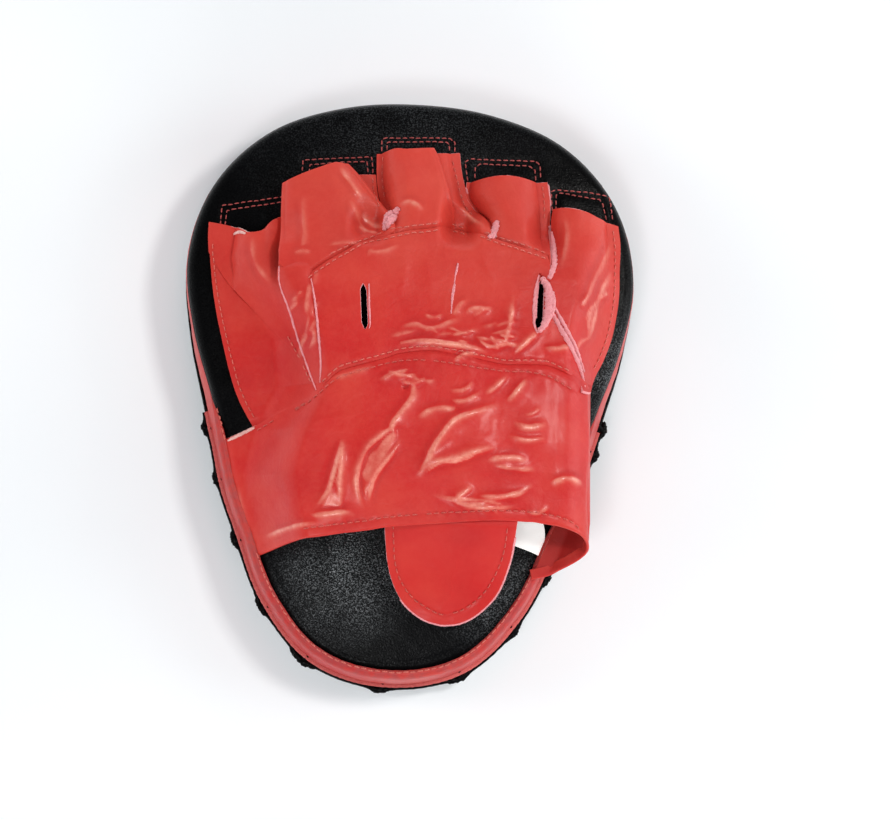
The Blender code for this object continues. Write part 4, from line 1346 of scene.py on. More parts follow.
def scatter_creases():
    local = random.Random(23)
    for centre_x, centre_y, spread_x, spread_y, turn, count in CREASE_PATCHES:
        strength = 1.35 if centre_x > 30 and centre_y > 20 else 1
        for _ in range(count):
            x = local.gauss(centre_x, spread_x * 0.6)
            y = local.gauss(centre_y, spread_y * 0.6)
            angle = math.radians(turn + local.gauss(0, 11))
            size = local.uniform(7, 17)
            bend = local.uniform(-0.2, 0.2) * size
            cosine, sine = math.cos(angle), math.sin(angle)
            half_x, half_y = cosine * size / 2, sine * size / 2
            line = [
                (x - half_x, y - half_y), (x - sine * bend, y + cosine * bend),
                (x + half_x, y + half_y),
            ]
            fold(line, local.uniform(0.35, 0.8) * strength, local.uniform(0.7, 1.1))


# The order of the folds seeds their waver.
for sizes, line in table(MAIN_FOLDS):
    fold(line, *sizes)
scatter_creases()
for sizes, line in table(LATER_FOLDS):
    fold(line, *sizes)

# Stitch rows: two over the upper edge of the knuckle panel, one above and one below its
# lower edge, one on the thumb side of the cuff and one along the hem.
ABOVE_KNUCKLES = as_points("""
    -35.6 56.6, -25.1 62.4, -12.4 68.5, -1.7 70.8, 9.1 72.7, 18.3 75.2, 28.8 70.9, 39.8 67.6,
    50.8 64.8, 58.8 62.4""")
KNUCKLE_UPPER = as_points("""
    -44.6 45.2, -36.5 51.6, -28.4 57.2, -20.2 62.4, -12 64.5, -1.5 67.5, 7 68.8, 17.9 71.6,
    26.6 68.6, 37.4 65.2, 46.2 63, 58 59.6""")
KNUCKLE_LOWER = as_points("""
    -36 0.2, -29.6 6.4, -24 9, -9.6 13.8, -3.2 16.1, 9.4 18, 18.2 17.2, 31.2 15.3, 42.5 13.9,
    52.8 14.5, 61 14.3, 70.4 10.8""")
CUFF_UPPER = as_points("""
    -46.9 -12.2, -38.9 -6.8, -31.1 0.7, -23.3 4.6, -9.4 9.3, -3 10.9, 7.7 11.9, 18.4 11.2,
    31.4 9.8, 42.6 9, 53 9.4, 62.6 7.4, 71.9 2.8""")
CUFF_THUMB = as_points("-64 -20.2, -55.4 -15.4, -47 -11.4, -40 -7")
HEM_ROW = as_points("""
    -58 -69.9, -49.6 -66.2, -41 -63.2, -32.6 -61.6, -24.2 -60, -13.8 -58.2, -5.4 -56.3,
    5.1 -54.8, 17.6 -53.3, 30.4 -51.9, 43 -50.8, 50.3 -50.6, 60.2 -50.9, 68.6 -52.2,
    75 -54.4, 79.4 -57.8""")
for row in (KNUCKLE_UPPER, ABOVE_KNUCKLES, KNUCKLE_LOWER, CUFF_UPPER):
    groove(row, 0.22)
groove(CUFF_THUMB, 0.2)
groove(HEM_ROW, 0.3)

knuckle_top_curve = curve(KNUCKLE_TOP, 200)
knuckle_bottom_curve = curve(KNUCKLE_BOTTOM, 200)
hem_curve = curve(HEM, 300)


def texture(x, y):
    """Small overall unevenness of soft leather."""
    busy = (
        0.45
        + 0.9 * bell(x - 34, 30) * bell(y - 26, 17)
        + 0.5 * bell(x - 40, 34) * bell(y + 34, 22)
    )
    z = 0.50 * clouds(x, y, 30, 101, 3)
    broad = np.clip(0.5 + 1.4 * noise(x / 33, y / 33, 103), 0, 1)
    z = z + 0.28 * busy * ridges(x, y, 17, 102) * broad
    fine = np.clip(0.3 + 1.6 * noise(x / 21, y / 21, 105), 0, 1)
    z = z + 0.16 * busy * ridges(x * 1.3, y, 8, 104) * fine
    # Puckers along the long seams.
    pucker = np.zeros(x.size)
    for seed, row in enumerate((KNUCKLE_UPPER, KNUCKLE_LOWER, CUFF_UPPER, HEM_ROW), 111):
        idx, gap, share, side = near_line(x, y, curve(row, 80), 6)
        pucker[idx] += 0.28 * noise(share * 34, side * 0.6, seed) * bell(gap, 2.6)
    return z + pucker.reshape(x.shape)


def surface(x, y):
    return glove_z(x, y) + detail(x, y) + texture(x, y)


# ------------------------------------------------------------------ glove
glove = []


def add_to_glove(obj, node):
    glove.append(place(obj, node))


def side_wall(edge, inner, foot, seed):
    """Columns that carry a sleeve's leather round its edge and down to the pad."""
    out = edge - inner
    out[:, 2] = 0
    out /= np.maximum(1e-9, np.linalg.norm(out, axis=1, keepdims=True))
    radius = np.minimum(1.7, np.maximum(0.2, (edge[:, 2] - foot) * 0.45))[:, None]
    down = np.array([[0, 0, -1.0]])
    columns = []
    for degrees in (22, 45, 68, 90):
        turn = math.radians(degrees)
        rounded = down * radius * (1 - math.cos(turn))
        columns.append(edge + out * radius * math.sin(turn) + rounded)
    last = columns[-1]
    drop = np.maximum(0, last[:, 2] - foot)[:, None]
    for k in range(1, 8):
        t = k / 7
        sway = 0.9 * np.sin(math.pi * t) * noise(edge[:, 1] / 9, seed, seed)[:, None]
        sink = (1.1 * math.sin(math.pi * t * 0.8) + sway) * np.minimum(1, drop / 6)
        columns.append(last + down * drop * t - out * sink)
    return np.stack(columns, 1)


def sleeve(name, top, bottom, left, right, high, flat=(0, 0), skew=1, power=0.75, join=0.5,
           join_y=None, edges=(0, 0), lower=0, under=True, walls=(False, False), rim=RED,
           rim_of=None):
    """A finger sleeve, arched to high and running out into the palm.

    Pairs are for the left and right: flat is the share left unarched, edges the share of
    the arch kept at the edge and walls whether leather is carried down to the pad there.
    join is the share of the length, or join_y the y range, over which it meets the palm.
    under tucks it below the knuckle panel."""
    lengths = [arc(as_points(line))[-1] for line in (top, bottom, left, right)]
    x, y, across, down = sheet(top, bottom, left, right, max(lengths[:2]), max(lengths[2:]))
    t = np.clip((across - flat[0]) / (1 - flat[0] - flat[1]), 0, 1) ** skew
    edge_share = mix(*edges, across)
    arch = edge_share + (1 - edge_share) * np.sin(math.pi * t) ** power
    height = high * (0.84 + 0.16 * smooth(down * 2.5))
    palm = glove_z(x, y) - back_z(x, y) - GLOVE_LIFT
    if join_y is None:
        joined = smooth((down - join) / (1 - join))
    else:
        joined = smooth((join_y[0] - y) / (join_y[0] - join_y[1]))
    z = back_z(x, y) + GLOVE_LIFT - lower + mix(height * arch, palm, joined)
    z = z + (detail(x, y) + texture(x, y)) * (0.35 + 0.65 * smooth(arch * 2 + joined))
    if under:
        knuckle_y = np.interp(x, *knuckle_top_curve.T)
        z = z - 1.9 * smooth((knuckle_y + 2.2 - y) / 2.6) * (np.abs(x) < 59)
    grid = np.stack([x, y, z], -1)
    crest = fold_light_and_shade_of(x, y)
    foot = back_z(x, y) + 1.2
    for wanted, edge, inner, seed in ((walls[0], 0, 1, 5), (walls[1], -1, -2, 7)):
        if wanted:
            foot_z = mix(foot[:, edge], z[:, edge] - 1.8, joined[:, edge])
            wall = side_wall(grid[:, edge], grid[:, inner], foot_z, seed)
            blank = np.zeros(wall.shape[:2])
            grids, crests = (grid, wall), (crest, blank)
            if edge == 0:
                grids, crests = (wall[:, ::-1], grid), (blank, crest)
            grid, crest = np.concatenate(grids, axis=1), np.concatenate(crests, axis=1)
    obj = leather(name, grid, 1.3, [RED, RED_SHADED_INNER, rim, RED], rim_of=rim_of, crest=crest)
    add_to_glove(obj, name.rsplit("_", 1)[0])


sleeve(
    "thumb_sleeve_tube",
    "-90.2 71.3, -84 70.4, -77.8 69, -74.2 67.3, -71.9 66.2, -65.8 67.2, -60.9 72.3, -53 76.4",
    "-89.4 57.8, -80.2 44.7, -67.1 31.9, -52.5 17.5, -44.2 8.4",
    "-90.2 71.3, -90.1 64.7, -89.4 57.8",
    "-53 76.4, -53.2 51.9, -53 42, -49.6 31.6, -44.2 8.4",
    high=11, flat=(0.30, 0), skew=0.8, power=0.8, join_y=(62, 34), under=False, rim=RAW_PALE,
    rim_of=lambda point: 2 if point[1] > 62 and -80 < point[0] < -71 else 3,
)


def side_panel():
    """The flat leather between the thumb and the edge of the pad."""
    x, y, across, down = sheet(
        "-89.3 60.5, -79.2 47.7, -66.1 34.9, -51.5 20.5, -45.2 13.4",
        "-64.6 -20, -56 -16.2, -47.6 -12.8, -40.7 -8.8, -36.5 -6.2",
        "-89.3 60.5, -86.5 40.9, -82.4 23.4, -74.3 -2.7, -64.6 -20",
        "-45.2 13.4, -40.9 4.4, -36.5 -6.2",
        width=78, height=86,
    )
    z = glove_z(x, y) - 1.5 * np.exp(-down * 9) * smooth(across * 6)
    z = z + (detail(x, y) + texture(x, y)) * 0.8
    z = z - 1.6 * smooth((down - 0.93) / 0.06)
    grid = np.stack([x, y, z], -1)
    return leather("thumb_side_flat", grid, 1.3, [RED, RED_SHADED_INNER, RED], crest=fold_light_and_shade_of(x, y))


def gusset():
    """The narrow wedge between the thumb and the knuckle panel."""
    x, y, across, down = sheet(
        "-57.6 51.8, -49 53.2, -40.5 53.7",
        "-38.6 -5.2, -36.5 -5.4, -34.4 -5.2",
        "-57.6 51.8, -57.6 44.2, -52.9 33.6, -47.8 19.2, -42.6 6.7, -38.6 -5.2",
        "-40.5 53.7, -39.1 42.3, -36.5 27, -34.6 14.1, -33.1 2.9, -34.4 -5.2",
        width=18, height=60,
    )
    bulge = 1.1 * np.sin(math.pi * np.clip(across * 1.15, 0, 1)) * (1 - down)
    z = surface(x, y) - 0.2 + bulge - 1.9 * smooth((across - 0.72) / 0.2)
    z = z - 1.6 * smooth((0.06 - down) / 0.06)
    grid = np.stack([x, y, z], -1)
    return leather("thumb_gusset_wedge", grid, 1.3, [RED, RED_SHADED_INNER, RAW], crest=fold_light_and_shade_of(x, y))


add_to_glove(side_panel(), "thumb_side_panel")
add_to_glove(gusset(), "thumb_gusset")

sleeve(
    "index_sleeve_tube",
    "-57 89.3, -50.8 92.2, -42.2 95.9, -35.8 98.6, -31.4 98.9",
    "-57 51, -50.3 46.8, -45 43.5, -37.5 48.8, -29.2 54.5, -20.8 59.9, -12.3 62",
    "-57 89.3, -56.6 76.3, -56.2 63, -57 51",
    "-31.4 98.9, -26.8 94.2, -19.8 85.8, -13.8 79, -10.5 74, -9.6 68.5, -12.3 62",
    high=15.5, skew=0.9, power=0.6, join=0.30, edges=(0.72, 0.62), walls=(True, True),
)
sleeve(
    "index_sleeve_flange",
    "-36 94.4, -27 95.2, -17.7 96.1",
    "-24 76, -17 72.5, -11.2 70.5",
    "-36 94.4, -30 86, -24 76",
    "-17.7 96.1, -16.3 87.2, -13.6 78.4, -11.2 70.5",
    high=2, join=0.9, under=False, lower=0.6, rim=RAW,
)
sleeve(
    "middle_sleeve_tube",
    "-17.8 105.4, -14.3 105.3, -9.5 106.3, -5.1 106.2, 1 107, 5.7 107.7",
    "-9 62.4, -1.6 64.8, 7 66.3, 17.6 69.2",
    "-17.8 105.4, -17.1 93.4, -15.3 84.5, -11.7 76.9, -9 62.4",
    "5.7 107.7, 8.2 102.7, 13.4 87.5, 16.8 77.9, 17.6 69.2",
    high=14.5, flat=(0.10, 0), skew=0.95, power=0.5, join=0.35, edges=(0, 0.8),
    walls=(False, True),
)
sleeve(
    "middle_sleeve_flange",
    "2 105.4, 10 106.4, 18.9 108",
    "12 74, 24 71, 34.4 67.6",
    "2 105.4, 7 92, 12 74",
    "18.9 108, 20.1 99.9, 22.9 89.7, 25.8 83.2, 31.4 77.3, 34.4 67.6",
    high=6, flat=(0, 0.25), join=0.55, lower=0.3, rim=RAW, edges=(0.5, 0),
)
sleeve(
    "ring_sleeve_tube",
    "22.7 94.9, 25.8 94.7, 32.3 96, 38.9 96.8, 45.5 96.7, 52.1 96.2, 58.2 97",
    "34.6 64, 46.4 60.6, 60 57",
    "22.7 94.9, 22.6 88.4, 26.8 82.4, 32 76.3, 34.6 64",
    "58.2 97, 59.4 90.5, 60 85.6, 60.2 77.1, 60 57",
    high=14, flat=(0.05, 0.14), power=0.55, join=0.35, rim=RAW,
)
sleeve(
    "little_sleeve_tube",
    "61 84.3, 66 84.4, 70.8 83.8, 76.2 82.7, 80.6 81.2, 84.6 80.5, 90.7 79.3",
    "76.6 3, 78.4 2.8, 80.4 3",
    """61 84.3, 60.4 77.8, 61.6 67, 61.3 58.5, 58.9 51.3, 58.2 44.9, 62.2 36.3, 67.9 23.8,
    73.3 13.6, 76.6 3""",
    "90.7 79.3, 92 70.6, 92.1 59.5, 92.3 46.1, 90.3 30.5, 86.8 19.2, 83 11, 80.4 3",
    high=13.5, flat=(0.02, 0.20), skew=0.95, power=0.55, under=False, join_y=(74, 50),
    rim=RAW, edges=(0.35, 0),
)

# Slots in the knuckle panel: x, lean, lowest y, highest y, half width.
SLOTS = (
    (-18.9, -0.10, 23.7, 44.4, 1.5), (18.6, 0.07, 32.5, 55.0, 0.25), (56.0, 0.0, 27.6, 49.8, 1.7),
)


def make_knuckle():
    step = 0.72
    x, y, *_ = sheet(
        KNUCKLE_TOP, KNUCKLE_BOTTOM, KNUCKLE_LEFT, KNUCKLE_RIGHT, width=112, height=66, step=step
    )
    rows, columns = x.shape

    def nearest(slot_x, slot_y):
        """The grid column at the middle of a slot."""
        row = int(np.argmin(np.abs(y[:, columns // 2] - slot_y)))
        return int(np.argmin(np.abs(x[row] - slot_x)))

    # Columns are drawn over to the slots.
    for slot_x, lean, y_low, y_high, _ in SLOTS:
        middle = (y_low + y_high) / 2
        col = nearest(slot_x, middle)
        line = slot_x + lean * (y[:, col] - middle)
        keep = smooth((y[:, col] - y_low + 9) / 8) * smooth((y_high + 9 - y[:, col]) / 8)
        move = (line - x[:, col]) * keep
        fall = bell(x - x[:, col : col + 1], 7)
        edge = smooth((x - x[:, :1]) / 2) * smooth((x[:, -1:] - x) / 2)
        x = x + move[:, None] * fall * edge
    top_gap = (np.arange(rows) * step)[:, None]
    edge_drop = 1.5 * np.exp(-top_gap / 1.7) + 0.80 * np.exp(-top_gap[::-1] / 1.8)
    z = surface(x, y) + 0.25 - edge_drop
    slits = []
    for slot_x, _, y_low, y_high, half in SLOTS:
        col = nearest(slot_x, (y_low + y_high) / 2)
        first, last = (int(np.argmin(np.abs(y[:, col] - end))) for end in (y_high, y_low))
        slits.append((col, first, last, half))
    return leather(
        "knuckle_panel_leather", np.stack([x, y, z], -1), 1.35, [RED, RED_SHADED_INNER, RED, RAW],
        slits=slits, slit_mat=3, crest=fold_light_and_shade_of(x, y),
    )


add_to_glove(make_knuckle(), "knuckle_panel")


# ------------------------------------------------------------------ cuff
def hem_of(x):
    return float(np.interp(x, *hem_curve.T))


def bottom_of(x):
    """Lower edge of the knuckle panel at this x."""
    return np.interp(x, *knuckle_bottom_curve.T)


def pad_half_width(y):
    """Half width of the back outline at this y, wrist half."""
    ring_x, ring_y = ring_at(np.linspace(math.radians(60), math.radians(176), 700), 0)
    return np.interp(-y, -ring_y, ring_x)


def under_knuckle(x, y):
    """How far the cuff leather sinks to pass below the knuckle panel's edge."""
    return 1.05 * smooth((y - (bottom_of(x) - 2.2)) / 3.2) * smooth((x + 41) / 5)


def turned_hem(grid, calm=1.0):
    """Rows added past the last one: the leather turns under and lies back against itself.
    calm scales the turn, for all columns or for each."""
    last = grid[-1]
    along = np.gradient(last, axis=0)
    along /= np.linalg.norm(along, axis=1, keepdims=True)
    back = last - grid[-4]
    back -= (back * along).sum(1, keepdims=True) * along
    out = back / np.linalg.norm(back, axis=1, keepdims=True)
    normal = grid_normals(grid)[-3]
    along_part = (normal * along).sum(1, keepdims=True) * along
    normal = normal - along_part - (normal * out).sum(1, keepdims=True) * out
    normal /= np.maximum(1e-9, np.linalg.norm(normal, axis=1, keepdims=True))
    calm = (calm * np.ones(len(last)))[:, None]
    radius, under = 1.05 * calm, 6 * calm
    rows = []
    for degrees in np.linspace(20, 180, 8):
        turn = math.radians(degrees)
        rounded = normal * radius * (1 - math.cos(turn))
        rows.append(last + out * radius * math.sin(turn) - rounded)
    for share in (0.25, 0.5, 1):
        rows.append(last - normal * radius * 2 - out * share * under)
    return np.concatenate([grid, np.array(rows)])


def cuff_left():
    """From the thumb side to the split."""
    split_foot = (SPLIT_X, hem_of(SPLIT_X))
    hem = [point for point in HEM if -52 < point[0] < SPLIT_X - 2]
    x, y, *_ = sheet(
        """-78.2 -24.9, -71.1 -21.3, -64.7 -18, -56 -13.2, -47.6 -9.3, -40.8 -4.4, -36 1.5,
        -30.1 7.3, -24.2 10.4, -9.5 15.1, -3.2 17.6, 3 18.9, 11 19.6""",
        [(-61.8, -74.2), (-56, -71.6)] + hem + [split_foot],
        "-78.2 -24.9, -74.4 -37.8, -70.4 -50.8, -66 -63.9, -61.8 -74.2",
        [(SPLIT_X, 19.6), (SPLIT_X, -20), split_foot],
        width=92, height=78,
    )
    return turned_hem(np.stack([x, y, surface(x, y) - under_knuckle(x, y)], -1))


ROLL_X = 60.4  # where the cuff starts to roll over its side
ROLL = ((ROLL_X, 0), (66.4, -0.95), (72.4, -2.9))  # x, drop from the top
# How the hem's y follows the roll: share along the section, share of y.
ROLL_SHARES = as_points("""
    0 0, 0.14 0.05, 0.26 0.134, 0.38 0.25, 0.52 0.32, 0.62 0.374, 0.70 0.47, 0.76 0.584,
    0.86 0.777, 0.94 0.91, 1 1""")


def roll_section(down, top, foot, count):
    """X and z from the start of the roll round and back under, at a share down the cuff."""
    bulge = mix(80.6, 83.4, down)
    section = [(x, top + drop) for x, drop in ROLL] + [
        (min(79.4, bulge - 2.4), top - 9),
        (bulge - 0.5, mix(top - 15, 57, 0.35)),
        (bulge + 0.2, 52.5),
        (mix(bulge, foot, 0.30), 47),
        (mix(bulge, foot, 0.72), 44 + 0.6 * smooth((down - 0.55) / 0.45)),
        (foot, 42.8),
    ]
    return curve(section, count)


def cuff_right():
    """From the split over the rolled side and back under to the edge of the pad."""
    downs = shares(78)
    columns = np.linspace(SPLIT_X, ROLL_X, int((ROLL_X - SPLIT_X) / STEP) + 1)
    flat = np.zeros((len(downs), len(columns), 3))
    for c, column_x in enumerate(columns):
        start = float(bottom_of(column_x)) + 3.2
        start = mix(19.6, start, float(smooth((column_x - SPLIT_X) / 4)))
        y = mix(start, hem_of(column_x), downs)
        x = np.full_like(y, column_x)
        flat[:, c] = np.stack([x, y, surface(x, y) - under_knuckle(x, y)], 1)
    count = 74
    share = np.linspace(0, 1, count)
    roll = np.zeros((len(downs), count, 3))
    for r, down in enumerate(downs):
        y0, y1 = mix(15.8, -54.3, down), mix(2, -78.1, down)
        top = float(glove_z(ROLL_X, mix(12.6, -54.3, down)))
        foot = min(80.6, float(pad_half_width(y1)) - 0.4)
        section = roll_section(down, top, foot, count)
        slow = np.interp(share, *ROLL_SHARES.T)
        y = mix(y0, y1, mix(smooth(share * 1.12), slow, down))
        roll[r] = np.stack([section[:, 0], y, section[:, 1]], 1)
    # The open end turns round in one full curve and comes back to the pad.
    top = roll[-1, 0, 2]
    end_line = curve([
        (ROLL_X, -54.3, top), (65, -54.7, top - 0.4), (69.6, -55.2, top - 1.3),
        (74.2, -56.2, top - 3.6), (78.2, -57.8, top - 7.2), (81.2, -60, 60),
        (82.9, -62.6, 55.6), (82.6, -65.4, 52), (80.3, -68, 49), (76.4, -70.8, 46.6),
        (71.6, -73.6, 44.6), (67.4, -75.9, 43.2), tuple(roll[-1, -1]),
    ], count)
    for r, down in enumerate(downs[:-1]):
        roll[r] += (end_line - roll[-1]) * float(smooth((down - 0.35) / 0.65))
    roll[-1] = end_line
    # Wrinkles on the roll stand out from it.
    normal = grid_normals(roll)
    x, y, z = roll[..., 0], roll[..., 1], roll[..., 2]
    order = np.arange(count)[None, :]
    amount = detail(x, y) + texture(x, y) * 0.9
    amount = amount + 0.35 * noise(z / 7, y / 26, 131) * smooth(order / 16)
    fade = 1 - smooth((order - count * 0.55) / (count * 0.2))
    roll = roll + normal * (amount * fade)[..., None]
    roll[..., 2] -= under_knuckle(x, y) * smooth((78 - x) / 3)
    # Meet the flat part exactly.
    seam = flat[:, -1] - roll[:, 0]
    roll = roll + seam[:, None] * (1 - smooth(np.arange(count) / 20))[None, :, None]
    grid = np.concatenate([flat, roll[:, 1:]], axis=1)
    calm = np.ones(grid.shape[1])
    calm[flat.shape[1] + int(count * 0.30) :] = 0.62
    calm = np.convolve(np.pad(calm, 5, mode="edge"), np.ones(11) / 11, mode="valid")
    return turned_hem(grid, calm)


def open_at_split(start, end):
    return abs(start[0] - SPLIT_X) < 0.3 and abs(end[0] - SPLIT_X) < 0.3


left_grid = cuff_left()
right_grid = cuff_right()
# The two halves share the points of their common line.
left_grid[:, -1] = right_grid[:, 0] = (left_grid[:, -1] + right_grid[:, 0]) / 2
cuff_thumb = leather(
    "cuff_thumb_half", left_grid, 1.0, [RED, RED_SHADED_INNER, RAW_PALE, RED],
    crest=fold_light_and_shade_of(left_grid[..., 0], left_grid[..., 1]), open_edge=open_at_split,
    rim_of=lambda point: 2 if point[0] < -60 and point[1] > -26 else 3,
)
cuff_little = leather(
    "cuff_little_half", right_grid, 1.0, [RED, RED_SHADED_INNER, RED, RED],
    crest=fold_light_and_shade_of(right_grid[..., 0], right_grid[..., 1]) * (right_grid[..., 2] > 58),
    open_edge=open_at_split,
)
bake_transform(cuff_thumb)
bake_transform(cuff_little)
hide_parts("cuff_left_wing", "cuff_crown", "cuff_lining")
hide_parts("cuff_right_wing", "cuff_crown", "cuff_lining")

# ------------------------------------------------------------------ pull tab and label
TAB_LEFT = "-5.9 -51, -5.6 -60.5, -3.4 -76, 0.8 -87, 6.4 -93.9, 13.6 -98.6, 20.6 -100.4"
TAB_RIGHT = """50.8 -51, 50.4 -58, 49.7 -66.4, 48.7 -72.8, 45.8 -82.7, 41.9 -89.4, 35.2 -95.9,
    28.6 -99.4, 22.6 -100.4"""
TAB_ROWS = (
    """46.6 -57.5, 46.2 -65.3, 44.9 -72.6, 41.8 -80.4, 37.9 -86.6, 31.3 -92.6, 23.4 -96""",
    """-2.2 -58.5, -0.2 -75.6, 3.9 -84.4, 10.2 -91, 19.5 -95.6, 23.4 -96""",
)


def tab_grid(inset, drop, rows, cols):
    left, right = curve(TAB_LEFT, rows), curve(TAB_RIGHT, rows)
    grid = np.zeros((rows, cols, 3))
    root_z = float(glove_z(22.0, -56.0)) - 3.4
    for i, ((x0, y0), (x1, y1)) in enumerate(zip(left, right)):
        half = max(0.6, (x1 - x0) / 2 - inset)
        x = (x0 + x1) / 2 + half * np.linspace(-1, 1, cols)
        y = mix(y0, y1, np.linspace(0, 1, cols))
        y = y + inset * smooth((-80 - mix(y0, y1, 0.5)) / 20)
        along = (-57.5 - y) / 42.7
        fall = smooth(0.5 * np.clip(along, 0, 1) + 0.5) * 2 - 1
        z = mix(root_z, 50.2, np.clip(fall, 0, 1)) - 1.6 * ((x - 22.5) / 28) ** 2
        z = z + 0.9 * np.sin(along * 3 + 0.6) * 0.6 + 0.30 * clouds(x, y, 20, 141, 2)
        z = z + 0.12 * ridges(x, y, 12, 143)
        grid[i] = np.stack([x, y, z - drop], 1)
    return grid


def hang_tab(obj):
    """Bakes the placement of a tab piece into its mesh."""
    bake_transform(obj)


outer_grid = tab_grid(0, 0, 72, 66)
press = np.zeros(outer_grid[..., 0].size)
for row in TAB_ROWS:
    idx, gap, share, _ = near_line(outer_grid[..., 0], outer_grid[..., 1], curve(row, 60), 3)
    pressed = -0.35 * bell(gap, 0.8) * (0.8 + 0.5 * noise(share * 30, 0, 145))
    press[idx] = np.minimum(press[idx], pressed)
outer_grid[..., 2] += press.reshape(outer_grid.shape[:2])
tab = leather("pull_tab_outer", outer_grid, 1.25, [RED_FLAT, RED_SHADED_INNER, RAW], fray=0.25)
under_grid = tab_grid(0.5, 1.45, 58, 50)
tab_under = leather("pull_tab_under", under_grid, 1.0, [RED_SHADED_INNER, RED_SHADED_INNER, RAW], fray=0.3)
for part, node in ((tab, "pull_tab"), (tab_under, "pull_tab_lining")):
    hang_tab(part)
    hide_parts(node)

# Raw edge round the free end of the tab.
tab_edge = np.vstack([outer_grid[12:, -1], outer_grid[-1, ::-1], outer_grid[:46:-1, 0]])
tab_edge = curve(tab_edge[::3], 200)
tab_edge[:, 2] -= 0.62
cords = Cords()
edge_radius = 0.66 + 0.1 * noise(np.linspace(0, 60, 200), 0, 147)
cords.add(tab_edge, edge_radius, flat=0.9, seed=3, rough=0.2)
hang_tab(cords.build("pull_tab_raw_edge", RAW, sharp=35))

cords = Cords()
tab_caster = Caster(tab)
for row in TAB_ROWS:
    cords.stitch(curve(row, 160), tab_caster)
hang_tab(cords.build("pull_tab_thread", THREAD_DARK))


def make_label():
    x, y, across, down = sheet(
        "50.4 -50, 56 -50, 62.4 -50.4", "51.2 -64.2, 58.2 -66.4, 64.4 -68.8",
        "50.4 -50, 50.7 -57, 51.2 -64.2", "62.4 -50.4, 64.6 -58, 64.4 -68.8",
        width=13, height=17, step=0.5,
    )
    curl = 0.9 * np.sin(across * 2.6 + 0.4) * down + 0.5 * down**2
    z = back_z(x, y) + 1.2 + curl + 0.15 * noise(x / 4, y / 4, 151)
    grid = np.stack([x, y, z], -1)
    return leather("care_label_fabric", grid, 0.35, [LABEL, LABEL, LABEL], fray=0.05)


label = make_label()
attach(label, "label")
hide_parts("care_label")

# ------------------------------------------------------------------ thread
# Rows along the sleeves: curve points, thread radius | line.
SLEEVE_ROWS = """
    200 0.24 | 88.2 77.5, 89.6 68, 89.8 58, 89.9 46, 88 31.5, 84.7 20.5, 81 12.5;
    240 0.24 | -87.9 62, -87.4 56, -84.7 41, -80.4 24, -72.2 -1.5, -64.4 -15.5;
    120 0.22 | 15.6 104.5, 17.6 98, 20.5 88, 23.6 82, 29 76.5;
    80 0.22 | -19.2 94.5, -18 87, -15.2 79;
    80 0.22 | 56 95.5, 57.2 88, 57.6 79;
    80 0.22 | -14.8 104, -14.6 94, -13 85"""
cords = Cords()
caster = Caster(*glove, cuff_thumb, cuff_little)
for row in (KNUCKLE_UPPER, ABOVE_KNUCKLES, KNUCKLE_LOWER):
    cords.stitch(curve(row, 400), caster)
cords.stitch("-52.4 21.6, -46.6 12, -42.4 4, -38.6 -3.4", caster, skip=0.1)
for (count, radius), line in table(SLEEVE_ROWS):
    cords.stitch(curve(line, int(count)), caster, radius=radius)
place(cords.build("glove_thread", THREAD_PALE))

cords = Cords()
caster = Caster(cuff_thumb)
cuff_rows = [curve(row, 500) for row in (CUFF_UPPER, HEM_ROW)]
for row in cuff_rows:
    cords.stitch(row[row[:, 0] < SPLIT_X], caster)
cords.stitch(curve(CUFF_THUMB, 300), caster)
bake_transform(cords.build("cuff_thread_thumb_half", THREAD_DARK))
cords = Cords()
caster = Caster(cuff_little)
for row in cuff_rows:
    cords.stitch(row[row[:, 0] >= SPLIT_X], caster)
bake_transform(cords.build("cuff_thread_little_half", THREAD_DARK))

# Channels in the back panel.
cords = Cords()
caster = Caster(panel)
for line in CHANNELS:
    cords.stitch(straight(line, 200), caster, pitch=2.9, size=2.1)
place(cords.build("back_panel_thread", THREAD))

# Row beside the binding, broken where the glove covers it.
cords = Cords()
caster = Caster(binding, panel)
x, y = ring_at(np.linspace(math.radians(97), math.radians(263), 900), -1)
open_left = (x < 0) & ((y > -25) | (y < -73))
open_run = open_left | ((x >= 0) & ((y > 14) | (y < -77)))
changes = np.nonzero(np.diff(np.concatenate([[0], open_run.astype(int), [0]])))[0]
for start, end in zip(changes[::2], changes[1::2]):
    if end - start > 20:
        run = np.stack([x[start:end], y[start:end]], 1)
        cords.stitch(run, caster, radius=0.34, lift=0.18)
place(cords.build("edge_binding_thread", THREAD_PALE))

# Both quilted rings of the strike face and a ring just inside the target's edge.
cords = Cords()
angles = np.linspace(0, 2 * math.pi, 700)
circle = np.stack([np.sin(angles), np.cos(angles)], 1)
cords.stitch_under(QUILT_RADIUS * circle, face_height)
cords.stitch_under(np.stack(ring_at(angles, -QUILT_INSET), 1), face_height)
cords.stitch_under((TARGET_RADIUS - 3) * circle, lambda x, y: 0.40)
place(cords.build("strike_face_thread", THREAD))

